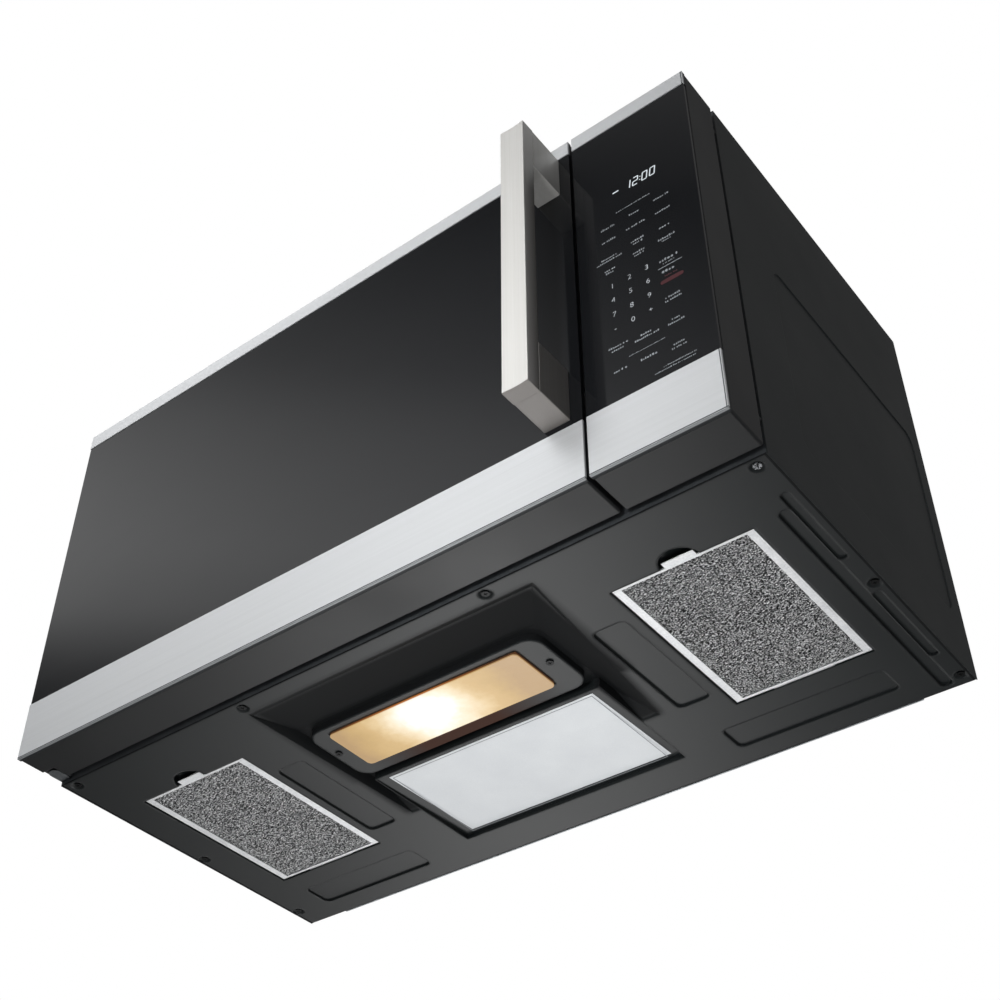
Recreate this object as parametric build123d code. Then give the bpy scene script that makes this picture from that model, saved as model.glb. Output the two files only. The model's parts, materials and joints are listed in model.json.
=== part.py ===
from build123d import *
import os
from math import cos, radians, sin

# Over the range microwave oven with a side hung door and a touch panel.
# Row frame in millimetres: X runs across the front, centred; Y runs from the
# wall (0) to the front (negative); Z is up from the underside of the base.

# ---------------------------------------------------------------- envelope
overall_width = 759.0
overall_height = 417.5
overall_depth = 406.0
door_thickness = 47.5
case_gap = 6.0
case_inset = 0.5
sheet = 0.8
base_sheet = 1.0
wall_plate_sheet = 1.2
slip = 0.3
running = 0.05

# ---------------------------------------------------------- front assembly
panel_width = 117.2
door_panel_gap = 3.6
door_lift = 3.0
door_drop = 2.5
bottom_strip_height = 60.3
top_strip_height = 17.7
strip_sheet = 1.0
glass_thickness = 4.0
glass_set_back = 0.8
frame_wall = 3.0
front_web = 2.5
rear_rim_width = 10.0
rear_rim_thickness = 2.0
corner_radius = 2.0
strip_edge_radius = 0.6
glass_corner_radius = 0.5

# ------------------------------------------------------------------ handle
handle_width = 24.5
handle_inset = 11.2
handle_foot_gap = 6.1
handle_reach = 53.6
handle_bar_depth = 15.6
handle_face_sheet = 1.6
handle_face_dish = 1.4
handle_bottom_post = 54.6
handle_top_post = 50.0
handle_edge_radius = 1.2
handle_face_edge_radius = 0.4
handle_dish_margin = 2.0
handle_screw_radius = 2.0
handle_screw_bite = 22.0
handle_screw_head_radius = 4.0
handle_screw_head_height = 2.4

# ------------------------------------------------------------------- hinge
hinge_side_inset = 8.0
hinge_back_inset = 8.0
hinge_pin_radius = 3.0
hinge_pin_length = 22.0
hinge_leaf = 1.5
hinge_leaf_half_width = 6.5
hinge_leaf_inset = 0.8
hinge_boss_radius = 6.0
hinge_notch_margin = 1.5
hinge_back_leaf = 14.0
hinge_boss_floor = 2.0
hinge_web = 6.0
hinge_pan_gap = 4.0

# ------------------------------------------------------------------ cavity
cavity_left_gap = 38.2
cavity_top_gap = 87.5
cavity_floor = 75.0
cavity_right_gap = 57.3
cavity_back_gap = 16.0
cavity_sheet = 0.8
cavity_vent_radius = 2.5
cavity_vent_pitch = 9.0
cavity_vent_columns = 8
cavity_vent_rows = 5
cavity_vent_drop = 50.0
window_margin_side = 40.0
window_margin_low = 28.0
window_margin_high = 28.0
choke_margin = 22.0
choke_depth = 6.5
choke_sheet = 1.0
choke_ring_width = 24.0
choke_cover_sheet = 1.0
pan_overlap = 4.0
screen_sheet = 0.5
screen_hole_radius = 4.0
screen_pitch = 20.0
screen_margin = 5.0

# --------------------------------------------------------------- turntable
tray_glass = 5.0
tray_rim_height = 12.0
tray_rim_run = 18.0
tray_rim_land = 3.0
tray_edge = 1.0
tray_wall_clearance = 6.85
roller_radius = 7.0
roller_length = 8.0
roller_track = 98.0
roller_count = 3
roller_axle_radius = 1.5
roller_head_radius = 2.8
roller_head_length = 1.5
roller_side_gap = 1.0
ring_width = 7.0
ring_height = 4.6
coupler_hub_radius = 9.0
coupler_lobe_radius = 14.0
coupler_shaft_radius = 3.5
coupler_pin_radius = 3.0
coupler_arm_width = 5.0
coupler_floor_gap = 1.0
coupler_hole_room = 2.0
turntable_motor_radius = 25.0
turntable_motor_height = 18.0
turntable_motor_floor = 3.0
turntable_ear = 8.0
turntable_ear_half_width = 6.0
turntable_ear_sheet = 1.2
turntable_ear_radius = 4.0

# -------------------------------------------------------------- base plate
trough_front_gap = 18.5
trough_back = -116.0
trough_left = -152.0
trough_right = 158.0
trough_tail_left = -143.0
trough_tail_right = 137.5
trough_depth = 10.0
trough_lip = 4.0
lamp_left = -141.0
lamp_right = 115.0
lamp_front_gap = 79.5
lamp_depth = 84.0
lamp_face = 3.0
lamp_corner = 16.0
lamp_cover_sheet = 1.5
lamp_cover_edge = 1.2
lamp_opening_margin = 3.0
lens_left = -121.0
lens_right = 91.0
lens_front_inset = 7.0
lens_depth = 61.5
lens_glass = 2.0
lens_rebate = 0.6
lens_corner = 3.0
lamp_housing_height = 36.0
lamp_housing_sheet = 0.8
lamp_housing_margin = 5.0
bulb_radius = 8.0
bulb_length = 46.0
bulb_centre_x = -48.0
bulb_cap_radius = 4.8
bulb_cap_length = 12.0
socket_wall = 4.0
label_left = -132.0
label_right = 118.0
label_lamp_gap = 6.5
label_back = -45.0
label_wall = 1.5
label_shallow = 0.6
label_deep = 4.5
label_margin_left = 11.5
label_margin_right = 9.9
label_margin_front = 4.3
label_margin_back = 7.3
label_sheet = 0.4
filter_front_gap = 68.4
filter_back = -91.4
filter_right_margin = 51.0
filter_left_margin = 43.4
filter_right_gap = 12.5
filter_left_gap = 10.1
filter_thickness = 9.0
filter_recess = 1.0
filter_gap = 1.2
filter_rail = 7.0
filter_end_rail = 2.5
filter_rail_sheet = 0.6
filter_mesh_sheet = 3.0
filter_tab_width = 28.7
filter_tab_reach = 6.5
filter_tab_sheet = 0.8
filter_tongue = 4.0
mesh_pitch_x = 12.0
mesh_pitch_y = 12.0
mesh_strand = 1.6
finger_dimple_radius = 18.0
finger_dimple_depth = 8.0
emboss_depth = 2.0
emboss_corner = 6.0
stiffener_width = 32.0
stiffener_front_gap = 103.5
stiffener_back = -114.0
stiffener_right_x = 171.5
stiffener_left_x = -181.5
rear_rib_width = 34.0
rear_rib_back = -28.0
rear_rib_right_start = 166.0
rear_rib_right_margin = 57.0
rear_rib_left_start = -192.0
rear_rib_left_margin = 47.0
edge_rib_width = 8.0
edge_rib_inset = 9.0
edge_rib_front_gap = 45.5
edge_rib_breaks = (-213.0, -161.0, -55.0)
valley_inset = 23.0
valley_width = 11.0
valley_front_gap = 62.5
valley_back = -8.0
valley_depth = 2.5

# ------------------------------------------------------------------ screws
screw_head_radius = 3.4
screw_head_height = 1.4
screw_shank_radius = 1.9
screw_shank_length = 9.0
screw_dimple_radius = 6.2
screw_dimple_depth = 1.8
screw_seat_margin = 1.0
screw_cross_width = 0.7
corner_screw_inset = 13.4
front_screw_inset = 9.0
front_screw_x = (-149.5, 119.1)
side_screw_inset = 8.0
side_screw_y = (-171.6, -16.3, -170.8, -30.9)
lamp_screw_x = (-133.0, 104.0)
lamp_screw_inset = 38.0
grille_screw_inset = 12.0

# ---------------------------------------------------------- top of the case
exhaust_width = 254.0
exhaust_depth = 82.6
exhaust_back_gap = 18.7
exhaust_notch = 1.0
grille_side_gap = 79.5
grille_depth = 44.0
grille_front_gap = 7.5
grille_sheet = 2.0
grille_slot_width = 5.0
grille_slot_length = 30.0
grille_slot_pitch = 12.0
grille_skirt = 26.0
grille_skirt_sheet = 1.2
grille_lip = 5.0
grille_slot_end = 20.0
charcoal_thickness = 12.0
charcoal_end_gap = 20.0
charcoal_depth = 36.0
bolt_spacing = 520.7
bolt_hole_radius = 3.4
bolt_front_gap = 82.5
bolt_collar_radius = 7.0
bolt_collar_length = 6.0
gland_side_gap = 49.5
gland_y = -40.0
gland_radius = 11.0
gland_flange_radius = 15.0
gland_bore_radius = 5.0
gland_length = 14.0
gland_flange = 3.0
side_recess_front_gap = 69.5
side_recess_back = -20.0
side_recess_low = 58.0
side_recess_high = 268.0
side_recess_depth = 1.0
side_recess_corner = 14.0

# -------------------------------------------------------------- wall plate
wall_plate_side_gap = 49.5
wall_plate_low = 0.0
wall_plate_top_gap = 17.5
stud_spacing = 406.4
stud_rise = 228.6
stud_low = 100.0
stud_hole_radius = 3.5
stud_head_room = 9.0
hook_spacing = 400.0
hook_width = 30.0
hook_low = 24.0
hook_reach = 6.8
hook_lip = 12.0
hook_clearance = 2.0
lightening_slot = (80.0, 24.0)

# -------------------------------------------------------------------- bay
bay_floor = 62.0
bay_floor_sheet = 1.2
bay_vent_front_gap = 25.0
bay_vent_back_gap = 30.0
waveguide_depth = 34.0
waveguide_length = 80.0
waveguide_height = 100.0
waveguide_front = -200.0
waveguide_top_gap = 40.0
waveguide_sheet = 1.0
port_length = 60.0
port_height = 60.0
mica_sheet = 0.6
mica_margin = 10.0
magnetron_plate = 2.0
magnetron_core_radius = 20.0
magnetron_core_length = 46.0
magnetron_fin_count = 7
magnetron_fin_sheet = 0.8
magnetron_yoke = 2.5
magnetron_box_depth = 26.0
magnetron_inset = 8.0
antenna_radius = 7.0
antenna_length = 18.0
antenna_room = 2.0
transformer_side_gap = 29.5
transformer_width = 88.0
transformer_y = (-236.0, -160.0)
transformer_height = 78.0
transformer_coil_bulge = 9.0
transformer_limb = 18.0
capacitor_side_gap = 17.0
capacitor_front_gap = 40.5
capacitor_width = 32.0
capacitor_length = 80.0
capacitor_height = 52.0
capacitor_terminal_radius = 3.0
capacitor_terminal_height = 9.0
fan_side_gap = 104.5
fan_z = 240.0
fan_back = -46.0
fan_ring_depth = 24.0
fan_ring_radius = 44.0
fan_frame_half = 48.0
fan_blade_radius = 41.0
fan_blade_count = 7
fan_blade_sheet = 1.4
fan_blade_pitch = 32.0
fan_hub_radius = 12.0
fan_motor_radius = 18.0
fan_motor_length = 24.0
fan_shaft_radius = 2.5
fan_shaft_room = 1.0
fan_blade_root = 2.0
fan_motor_edge = 2.0
fan_arm_width = 8.0
fan_arm_sheet = 2.0
fan_leg_width = 14.0

# ------------------------------------------------------------ vent blower
blower_axis_y = -85.0
blower_drop = 44.0
blower_scroll_radius = 41.0
blower_scroll_length = 90.0
blower_scroll_sheet = 1.2
blower_motor_radius = 30.0
blower_motor_length = 68.0
blower_wheel_radius = 34.0
blower_wheel_bore = 28.0
blower_blade_count = 24
blower_blade_sheet = 1.0
blower_shaft_radius = 4.0
blower_inlet_radius = 26.0
blower_cradle_width = 20.0
blower_motor_gap = 2.0
blower_motor_edge = 3.0
blower_wheel_gap = 3.0
blower_disc_sheet = 1.5
blower_rim_width = 2.0
blower_saddle_drop = 10.0

# --------------------------------------------------------- latch and switches
latch_side_inset = 24.7
latch_arm_width = 6.0
latch_arm_height = 10.0
latch_bar_width = 12.0
latch_bar_sheet = 3.0
latch_low = 127.0
latch_top_gap = 128.0
latch_overrun = 14.0
latch_reach = 21.0
latch_barb = 4.0
latch_barb_length = 8.0
latch_travel = 4.0
latch_slot_room = 2.0
latch_bar_set_back = 10.5
latch_guide = 3.0
interlock_gap = 12.0
interlock_overlap = 12.0
interlock_sheet = 2.5
interlock_depth = 33.0
interlock_flange = 14.0
interlock_flange_sheet = 2.0
switch_length = 20.0
switch_height = 16.0
switch_width = 10.0
switch_back_gap = 8.0
switch_bore_depth = 5.0
plunger_radius = 1.5
plunger_room = 2.0
plunger_travel = 1.2

# ------------------------------------------------------------------ boards
board_sheet = 1.6
board_margin = 8.0
board_low = 110.0
board_top_gap = 45.0
board_stand_off = 8.0
board_post_radius = 4.0
relay_height = 12.0
relay_inset = 25.0
relay_size = (35.0, 40.0)
display_inset = 30.0
display_drop = 60.0
display_size = (55.0, 30.0)
panel_window_side = 16.0
panel_window_end = 20.0
panel_lug_radius = 4.0
panel_lug_inset = 30.0

# ------------------------------------------------------------ derived places
half_width = overall_width / 2
front_y = -overall_depth
door_back_y = front_y + door_thickness
case_front_y = door_back_y + case_gap
case_back_y = -wall_plate_sheet
case_half = half_width - case_inset
inside_half = case_half - sheet
top_under = overall_height - sheet
rear_panel_front = case_back_y - sheet
door_low = door_lift
door_high = overall_height - door_drop
glass_low = door_low + bottom_strip_height
glass_high = door_high - top_strip_height
panel_left = half_width - panel_width
door_left = -half_width
door_right = panel_left - door_panel_gap
glass_front = front_y + glass_set_back
web_front = glass_front + glass_thickness
web_back = web_front + front_web
rim_front = door_back_y - rear_rim_thickness
frame_plate_back = case_front_y + sheet
cavity_left = cavity_left_gap - inside_half
cavity_right = panel_left - cavity_right_gap
cavity_top = overall_height - cavity_top_gap
cavity_back = -cavity_back_gap
cavity_mid_x = (cavity_left + cavity_right) / 2
tray_radius = (cavity_back - frame_plate_back) / 2 - tray_wall_clearance
turntable_y = cavity_back - tray_radius - tray_wall_clearance
hinge_x = door_left + hinge_side_inset
hinge_y = door_back_y - hinge_back_inset
handle_right = door_right - handle_inset
handle_left = handle_right - handle_width
handle_low = glass_low + handle_foot_gap
handle_high = glass_high - slip
handle_front = front_y - handle_reach
handle_back = handle_front + handle_bar_depth
handle_mid_x = (handle_left + handle_right) / 2
window_left = cavity_left + window_margin_side
window_right = cavity_right - window_margin_side
window_low = cavity_floor + window_margin_low
window_high = cavity_top - window_margin_high
choke_left = cavity_left - choke_margin
choke_right = cavity_right + choke_margin
choke_low = cavity_floor - choke_margin
choke_high = cavity_top + choke_margin
choke_back = rim_front + choke_depth
roller_z = cavity_floor + slip + roller_radius
tray_under = roller_z + roller_radius + slip
coupler_top = tray_under - slip
trough_front = case_front_y + trough_front_gap
lamp_front = case_front_y + lamp_front_gap
lamp_back = lamp_front + lamp_depth
lens_front = lamp_front + lens_front_inset
lens_back = lens_front + lens_depth
label_front = lamp_back + label_lamp_gap
side_recess_front = case_front_y + side_recess_front_gap
filter_front = case_front_y + filter_front_gap
filter_right = (stiffener_right_x + stiffener_width / 2 + filter_right_gap,
                case_half - filter_right_margin)
filter_left = (filter_left_margin - case_half,
               stiffener_left_x - stiffener_width / 2 - filter_left_gap)
rear_rib_right = (rear_rib_right_start, case_half - rear_rib_right_margin)
rear_rib_left = (rear_rib_left_margin - case_half, rear_rib_left_start)
edge_rib_spans = ((case_front_y + edge_rib_front_gap, edge_rib_breaks[0]), edge_rib_breaks[1:])
valley_span = (case_front_y + valley_front_gap, valley_back)
front_screw_y = case_front_y + front_screw_inset
corner_screw_x = case_half - corner_screw_inset
side_screw_x = case_half - side_screw_inset
base_screw_places = (
    (corner_screw_x, front_screw_y), (-corner_screw_x, front_screw_y),
    (front_screw_x[0], front_screw_y), (front_screw_x[1], front_screw_y),
    (side_screw_x, side_screw_y[0]), (side_screw_x, side_screw_y[1]),
    (-side_screw_x, side_screw_y[2]), (-side_screw_x, side_screw_y[3]),
)
lamp_screw_places = [(x, lamp_front + lamp_screw_inset) for x in lamp_screw_x]
bay_top = bay_floor + bay_floor_sheet
waveguide_right = cavity_right + cavity_sheet + waveguide_depth
waveguide_mid_y = waveguide_front + waveguide_length / 2
waveguide_low = cavity_top - waveguide_top_gap - waveguide_height
waveguide_mid_z = waveguide_low + waveguide_height / 2
transformer_right = half_width - transformer_side_gap
transformer_x = (transformer_right - transformer_width, transformer_right)
capacitor_left = cavity_right + capacitor_side_gap
capacitor_x = (capacitor_left, capacitor_left + capacitor_width)
capacitor_front = case_front_y + capacitor_front_gap
capacitor_y = (capacitor_front, capacitor_front + capacitor_length)
fan_x = half_width - fan_side_gap
gland_x = half_width - gland_side_gap
exhaust_back = -exhaust_back_gap
exhaust_front = exhaust_back - exhaust_depth
grille_front = case_front_y + grille_front_gap
grille_back = grille_front + grille_depth
grille_half = half_width - grille_side_gap
grille_screw_x = grille_half - grille_screw_inset
charcoal_half = grille_half - charcoal_end_gap
bolt_y = case_front_y + bolt_front_gap
blower_axis_z = overall_height - blower_drop
fan_front = fan_back - fan_ring_depth
latch_x = door_right - latch_side_inset
latch_high = door_high - latch_top_gap
interlock_x = latch_x + interlock_gap
interlock_back = frame_plate_back + interlock_depth
latch_bar_y = rim_front - latch_bar_set_back
board_high = door_high - board_top_gap


# -------------------------------------------------------------- basic shapes
def block(x, y, z):
    """Box between pairs of limits on X, Y and Z."""
    size = [limit[1] - limit[0] for limit in (x, y, z)]
    centre = [(limit[0] + limit[1]) / 2 for limit in (x, y, z)]
    return Pos(*centre) * Box(*size)


def soft_block(x, y, z, radius, axis=Axis.Z):
    """Box whose edges along one axis are rounded."""
    body = block(x, y, z)
    return fillet(body.edges().filter_by(axis), radius)


def rod_z(x, y, z, radius):
    return Pos(x, y, (z[0] + z[1]) / 2) * Cylinder(radius, z[1] - z[0])


def rod_x(x, y, z, radius):
    turned = Rot(0, 90, 0) * Cylinder(radius, x[1] - x[0])
    return Pos((x[0] + x[1]) / 2, y, z) * turned


def rod_y(x, y, z, radius):
    turned = Rot(90, 0, 0) * Cylinder(radius, y[1] - y[0])
    return Pos(x, (y[0] + y[1]) / 2, z) * turned


def along_x(points, x):
    """Prism of a closed outline in the YZ plane between two limits on X."""
    outline = Polyline([(0, y, z) for y, z in points], close=True)
    face = Pos(x[0], 0, 0) * make_face(outline)
    return extrude(face, amount=x[1] - x[0], dir=(1, 0, 0))


def frustum(low_points, low_z, high_points, high_z):
    """Straight sided solid between two outlines of equal corner count."""
    low = make_face(Polyline([(x, y, low_z) for x, y in low_points], close=True))
    high = make_face(Polyline([(x, y, high_z) for x, y in high_points], close=True))
    return loft([low, high], ruled=True)


def grown(points, amount):
    """Four corner outline, front left first, moved outwards by an amount."""
    signs = ((-1, -1), (1, -1), (1, 1), (-1, 1))
    return [(x + sx * amount, y + sy * amount) for (x, y), (sx, sy) in zip(points, signs)]


def screw(x, y, head_low, upwards=True, length=screw_shank_length):
    """Pan head screw whose head's outer face is at head_low."""
    way = 1 if upwards else -1
    head = Pos(x, y, head_low + way * screw_head_height / 2) * Cylinder(
        screw_head_radius, screw_head_height)
    shank_mid = head_low + way * (screw_head_height + length / 2)
    shank = Pos(x, y, shank_mid) * Cylinder(screw_shank_radius, length)
    arm = screw_head_radius * 1.1
    depth = screw_head_height / 2
    cross = Pos(x, y, head_low + way * depth / 2) * (
        Box(arm, screw_cross_width, depth) + Box(screw_cross_width, arm, depth))
    return head + shank - cross


def group(solids):
    return Compound(children=[solid for shape in solids for solid in shape.solids()])


# ---------------------------------------------------------------- outer case
def side_recess(side, depth, margin):
    """Wide shallow pressing in a side wall, as a solid on the given side."""
    outer = side * case_half
    limits = sorted((outer, outer - side * depth))
    return soft_block(
        limits,
        (side_recess_front - margin, side_recess_back + margin),
        (side_recess_low - margin, side_recess_high + margin),
        side_recess_corner, Axis.X)


def outer_case():
    """Folded sheet as its three flats: the top and both sides, met along the folds."""
    y = (case_front_y, case_back_y)
    top = block((-case_half, case_half), y, (top_under, overall_height))
    walls = []
    for side in (-1, 1):
        wall = block(sorted((side * inside_half, side * case_half)), y, (0, top_under))
        wall += side_recess(side, side_recess_depth + sheet, sheet)
        walls.append(wall - side_recess(side, side_recess_depth, 0))
        bolt_x = side * bolt_spacing / 2
        top += rod_z(bolt_x, bolt_y, (overall_height - bolt_collar_length, overall_height),
                     bolt_collar_radius)
        top -= rod_z(bolt_x, bolt_y, (0, overall_height + sheet), bolt_hole_radius)
    over = (top_under - sheet, overall_height + sheet)
    top -= block((-exhaust_width / 2, exhaust_width / 2), (exhaust_front, exhaust_back), over)
    top -= block((-grille_half, grille_half), (grille_front, grille_back), over)
    top -= rod_z(gland_x, gland_y, over, gland_radius)
    return group([top, *walls])


def rear_panel():
    """Flat back of the case with slots for the wall hooks and screw heads."""
    y = (rear_panel_front, case_back_y)
    body = block((-inside_half, inside_half), y, (base_sheet, top_under))
    cut = (rear_panel_front - sheet, case_back_y + sheet)
    for side in (-1, 1):
        x = side * hook_spacing / 2
        half = hook_width / 2 + hook_clearance
        high = hook_low + wall_plate_sheet + hook_lip + hook_clearance
        body -= block((x - half, x + half), cut, (hook_low - hook_clearance, high))
        for z in (stud_low, stud_low + stud_rise):
            body -= rod_y(side * stud_spacing / 2, cut, z, stud_head_room)
    return body


def wall_plate():
    """Sheet that is screwed to the wall studs and carries the case on hooks."""
    y = (-wall_plate_sheet, 0)
    half = half_width - wall_plate_side_gap
    body = block((-half, half), y, (wall_plate_low, overall_height - wall_plate_top_gap))
    cut = (-2 * wall_plate_sheet, wall_plate_sheet)
    for side in (-1, 1):
        for z in (stud_low, stud_low + stud_rise):
            body -= rod_y(side * stud_spacing / 2, cut, z, stud_hole_radius)
        x = side * hook_spacing / 2
        span = (x - hook_width / 2, x + hook_width / 2)
        arm_front = -wall_plate_sheet - hook_reach
        body += block(span, (arm_front, 0), (hook_low, hook_low + wall_plate_sheet))
        body += block(span, (arm_front - wall_plate_sheet, arm_front),
                      (hook_low, hook_low + wall_plate_sheet + hook_lip))
    slot_z = (stud_low + stud_rise / 2) - lightening_slot[1] / 2
    for x in (-2 * lightening_slot[0], 0, 2 * lightening_slot[0]):
        span = (x - lightening_slot[0] / 2, x + lightening_slot[0] / 2)
        body -= soft_block(span, cut, (slot_z, slot_z + lightening_slot[1]),
                           lightening_slot[1] / 2.5, Axis.Y)
    return body


# ---------------------------------------------------------------- base plate
def trough(grow, raised):
    """Sloped hollow around the lamp; grow and raised give its upper skin."""
    low = [(trough_left, trough_front), (trough_right, trough_front),
           (trough_tail_right, trough_back), (trough_tail_left, trough_back)]
    floor_back = label_front + (trough_back - label_front) / 3
    left, right = lamp_left - trough_lip, lamp_right + trough_lip
    front = lamp_front - trough_lip
    high = [(left, front), (right, front), (right, floor_back),
            (lamp_left - slip, floor_back)]
    return frustum(grown(low, grow), 0, grown(high, grow), trough_depth + raised)


def label_step(shrink):
    """Level area behind the lamp that carries the label, inside the trough."""
    return block((label_left - label_wall + shrink, label_right + label_wall - shrink),
                 (label_front - label_wall + shrink, trough_back + trough_depth),
                 (-base_sheet, 2 * trough_depth))


def label_wedge(grow, raised):
    """Pocket for the label: shallow at its front edge and deeper at the back."""
    front, back = label_front - grow, label_back + grow
    outline = [(front, 0), (back, 0), (back, label_deep + raised),
               (front, label_shallow + raised)]
    return along_x(outline, (label_left - grow, label_right + grow))


def pressing(x, y, depth, grow=0.0, raised=0.0, corner=emboss_corner):
    """Rounded rectangle pressed upwards into the base."""
    span_x = (x[0] - grow, x[1] + grow)
    span_y = (y[0] - grow, y[1] + grow)
    return soft_block(span_x, span_y, (0, depth + raised), corner + grow)


def pressings():
    """Limits on X and Y, depth and corner radius of each stiffening pressing."""
    items = []
    y = (case_front_y + stiffener_front_gap, stiffener_back)
    for x in (stiffener_left_x, stiffener_right_x):
        span = (x - stiffener_width / 2, x + stiffener_width / 2)
        items.append((span, y, emboss_depth, emboss_corner))
    for span in (rear_rib_left, rear_rib_right):
        y = (rear_rib_back - rear_rib_width, rear_rib_back)
        items.append((span, y, emboss_depth, emboss_corner))
    right = case_half - edge_rib_inset
    for y in edge_rib_spans:
        span = (right - edge_rib_width, right)
        items.append((span, y, emboss_depth, edge_rib_width / 2.2))
    middle = case_half - valley_inset
    span = (middle - valley_width / 2, middle + valley_width / 2)
    items.append((span, valley_span, valley_depth, valley_width / 2.2))
    return items


def finger_dimple(span, grow, raised):
    x = (span[0] + span[1]) / 2
    disc = Pos(x, filter_front, (finger_dimple_depth + raised) / 2) * Cylinder(
        finger_dimple_radius + grow, finger_dimple_depth + raised)
    far = filter_front + filter_gap + finger_dimple_radius + grow
    side = finger_dimple_radius + grow
    return disc - block((x - side, x + side), (filter_front - filter_gap + grow, far),
                        (-1, finger_dimple_depth + raised + 1))


def filter_opening(span):
    return block((span[0] - filter_gap, span[1] + filter_gap),
                 (filter_front - filter_gap, filter_back + filter_gap),
                 (-base_sheet, 2 * base_sheet))


def screw_dimple(x, y, grow, raised):
    depth = screw_dimple_depth + raised
    cone = Cone(screw_dimple_radius + grow, screw_head_radius + screw_seat_margin + grow, depth)
    return Pos(x, y, depth / 2) * cone


def lamp_opening():
    margin = lamp_opening_margin
    return block((lens_left - margin, lens_right + margin),
                 (lens_front - margin, lens_back + margin),
                 (0, trough_depth + 2 * base_sheet))


def base_plate():
    """Pressed sheet under the oven with the lamp trough, ribs and openings."""
    half = inside_half - slip
    t = base_sheet
    y = (case_front_y, rear_panel_front)
    body = block((-half, half), y, (0, t))
    body += trough(t, t) - label_step(t)
    body += label_wedge(t, t)
    for x, y, depth, corner in pressings():
        body += pressing(x, y, depth, t, t, corner)
    for span in (filter_left, filter_right):
        body += finger_dimple(span, t, t)
    for x, y in base_screw_places:
        body += screw_dimple(x, y, t, t)
    body -= trough(0, 0) - label_step(0)
    body -= label_wedge(0, 0)
    for x, y, depth, corner in pressings():
        body -= pressing(x, y, depth, 0, 0, corner)
    for span in (filter_left, filter_right):
        body -= filter_opening(span)
        body -= finger_dimple(span, 0, 0)
    for x, y in base_screw_places:
        body -= screw_dimple(x, y, 0, 0)
        body -= rod_z(x, y, (-t, 3 * t + screw_dimple_depth), screw_shank_radius + running)
    body -= lamp_opening()
    for x, y in lamp_screw_places:
        body -= rod_z(x, y, (0, trough_depth + 3 * t), screw_shank_radius + running)
    return body


def case_screws():
    """Pan head screws of the base, the lamp cover and the vent grille."""
    items = [screw(x, y, screw_dimple_depth - screw_head_height)
             for x, y in base_screw_places]
    items += [screw(x, y, lamp_face - screw_head_height, length=trough_depth)
              for x, y in lamp_screw_places]
    grille_y = (grille_front + grille_back) / 2
    items += [screw(side * grille_screw_x, grille_y, overall_height, False)
              for side in (-1, 1)]
    return group(items)


# ----------------------------------------------------------------- the lamp
def lamp_cover():
    """Rounded tray below the lamp with the lens opening."""
    x = (lamp_left, lamp_right)
    y = (lamp_front, lamp_back)
    body = soft_block(x, y, (lamp_face, trough_depth), lamp_corner)
    body = fillet(body.faces().sort_by(Axis.Z)[0].edges(), lamp_cover_edge)
    t = lamp_cover_sheet
    inner_x = (lamp_left + t, lamp_right - t)
    inner_y = (lamp_front + t, lamp_back - t)
    body -= soft_block(inner_x, inner_y, (lamp_face + t, trough_depth + t), lamp_corner - t)
    body -= block((lens_left + t, lens_right - t), (lens_front + t, lens_back - t),
                  (0, trough_depth))
    for px, py in lamp_screw_places:
        body += rod_z(px, py, (lamp_face, trough_depth), screw_head_radius + t)
        body -= rod_z(px, py, (0, 2 * trough_depth), screw_shank_radius + running)
    return body


def lamp_lens():
    low = lamp_face + lamp_cover_sheet
    pane = soft_block((lens_left, lens_right), (lens_front, lens_back),
                      (low, low + lens_glass), lens_corner)
    raised = block((lens_left + lamp_cover_sheet + slip, lens_right - lamp_cover_sheet - slip),
                   (lens_front + lamp_cover_sheet + slip, lens_back - lamp_cover_sheet - slip),
                   (lamp_face + lens_rebate, low))
    return pane + raised


def lamp_housing():
    """Reflector box that stands on the floor of the trough."""
    t = lamp_housing_sheet
    low = trough_depth + base_sheet
    margin = lamp_housing_margin
    x = (lens_left - margin, lens_right + margin)
    y = (lens_front - margin, lens_back + margin)
    outer = block(x, y, (low, low + lamp_housing_height))
    inner = block((x[0] + t, x[1] - t), (y[0] + t, y[1] - t),
                  (low - t, low + lamp_housing_height - t))
    return outer - inner


def lamp_axis():
    return (lens_front + lens_back) / 2, trough_depth + base_sheet + lamp_housing_height / 2


def lamp_socket():
    """Ceramic holder fixed to the left wall of the reflector box."""
    y, z = lamp_axis()
    wall = lens_left - lamp_housing_margin + lamp_housing_sheet
    face = bulb_centre_x - bulb_length / 2
    body = rod_x((wall, face), y, z, bulb_radius + socket_wall)
    return body - rod_x((face - bulb_cap_length, face + 1), y, z, bulb_cap_radius + running)


def lamp_bulb():
    y, z = lamp_axis()
    face = bulb_centre_x - bulb_length / 2
    cap = rod_x((face - bulb_cap_length, face), y, z, bulb_cap_radius)
    glass = rod_x((face, face + bulb_length), y, z, bulb_radius)
    glass = fillet(glass.edges(), bulb_radius * 0.45)
    return cap + glass


def label_plate():
    """Blank foil sheet on the sloped floor of its pocket."""
    front = label_front + label_margin_front
    back = label_back - label_margin_back
    rise = (label_deep - label_shallow) / (label_back - label_front)

    def floor(y):
        return label_shallow + rise * (y - label_front)

    outline = [(front, floor(front) - label_sheet), (back, floor(back) - label_sheet),
               (back, floor(back)), (front, floor(front))]
    return along_x(outline, (label_left + label_margin_left, label_right - label_margin_right))


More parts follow.
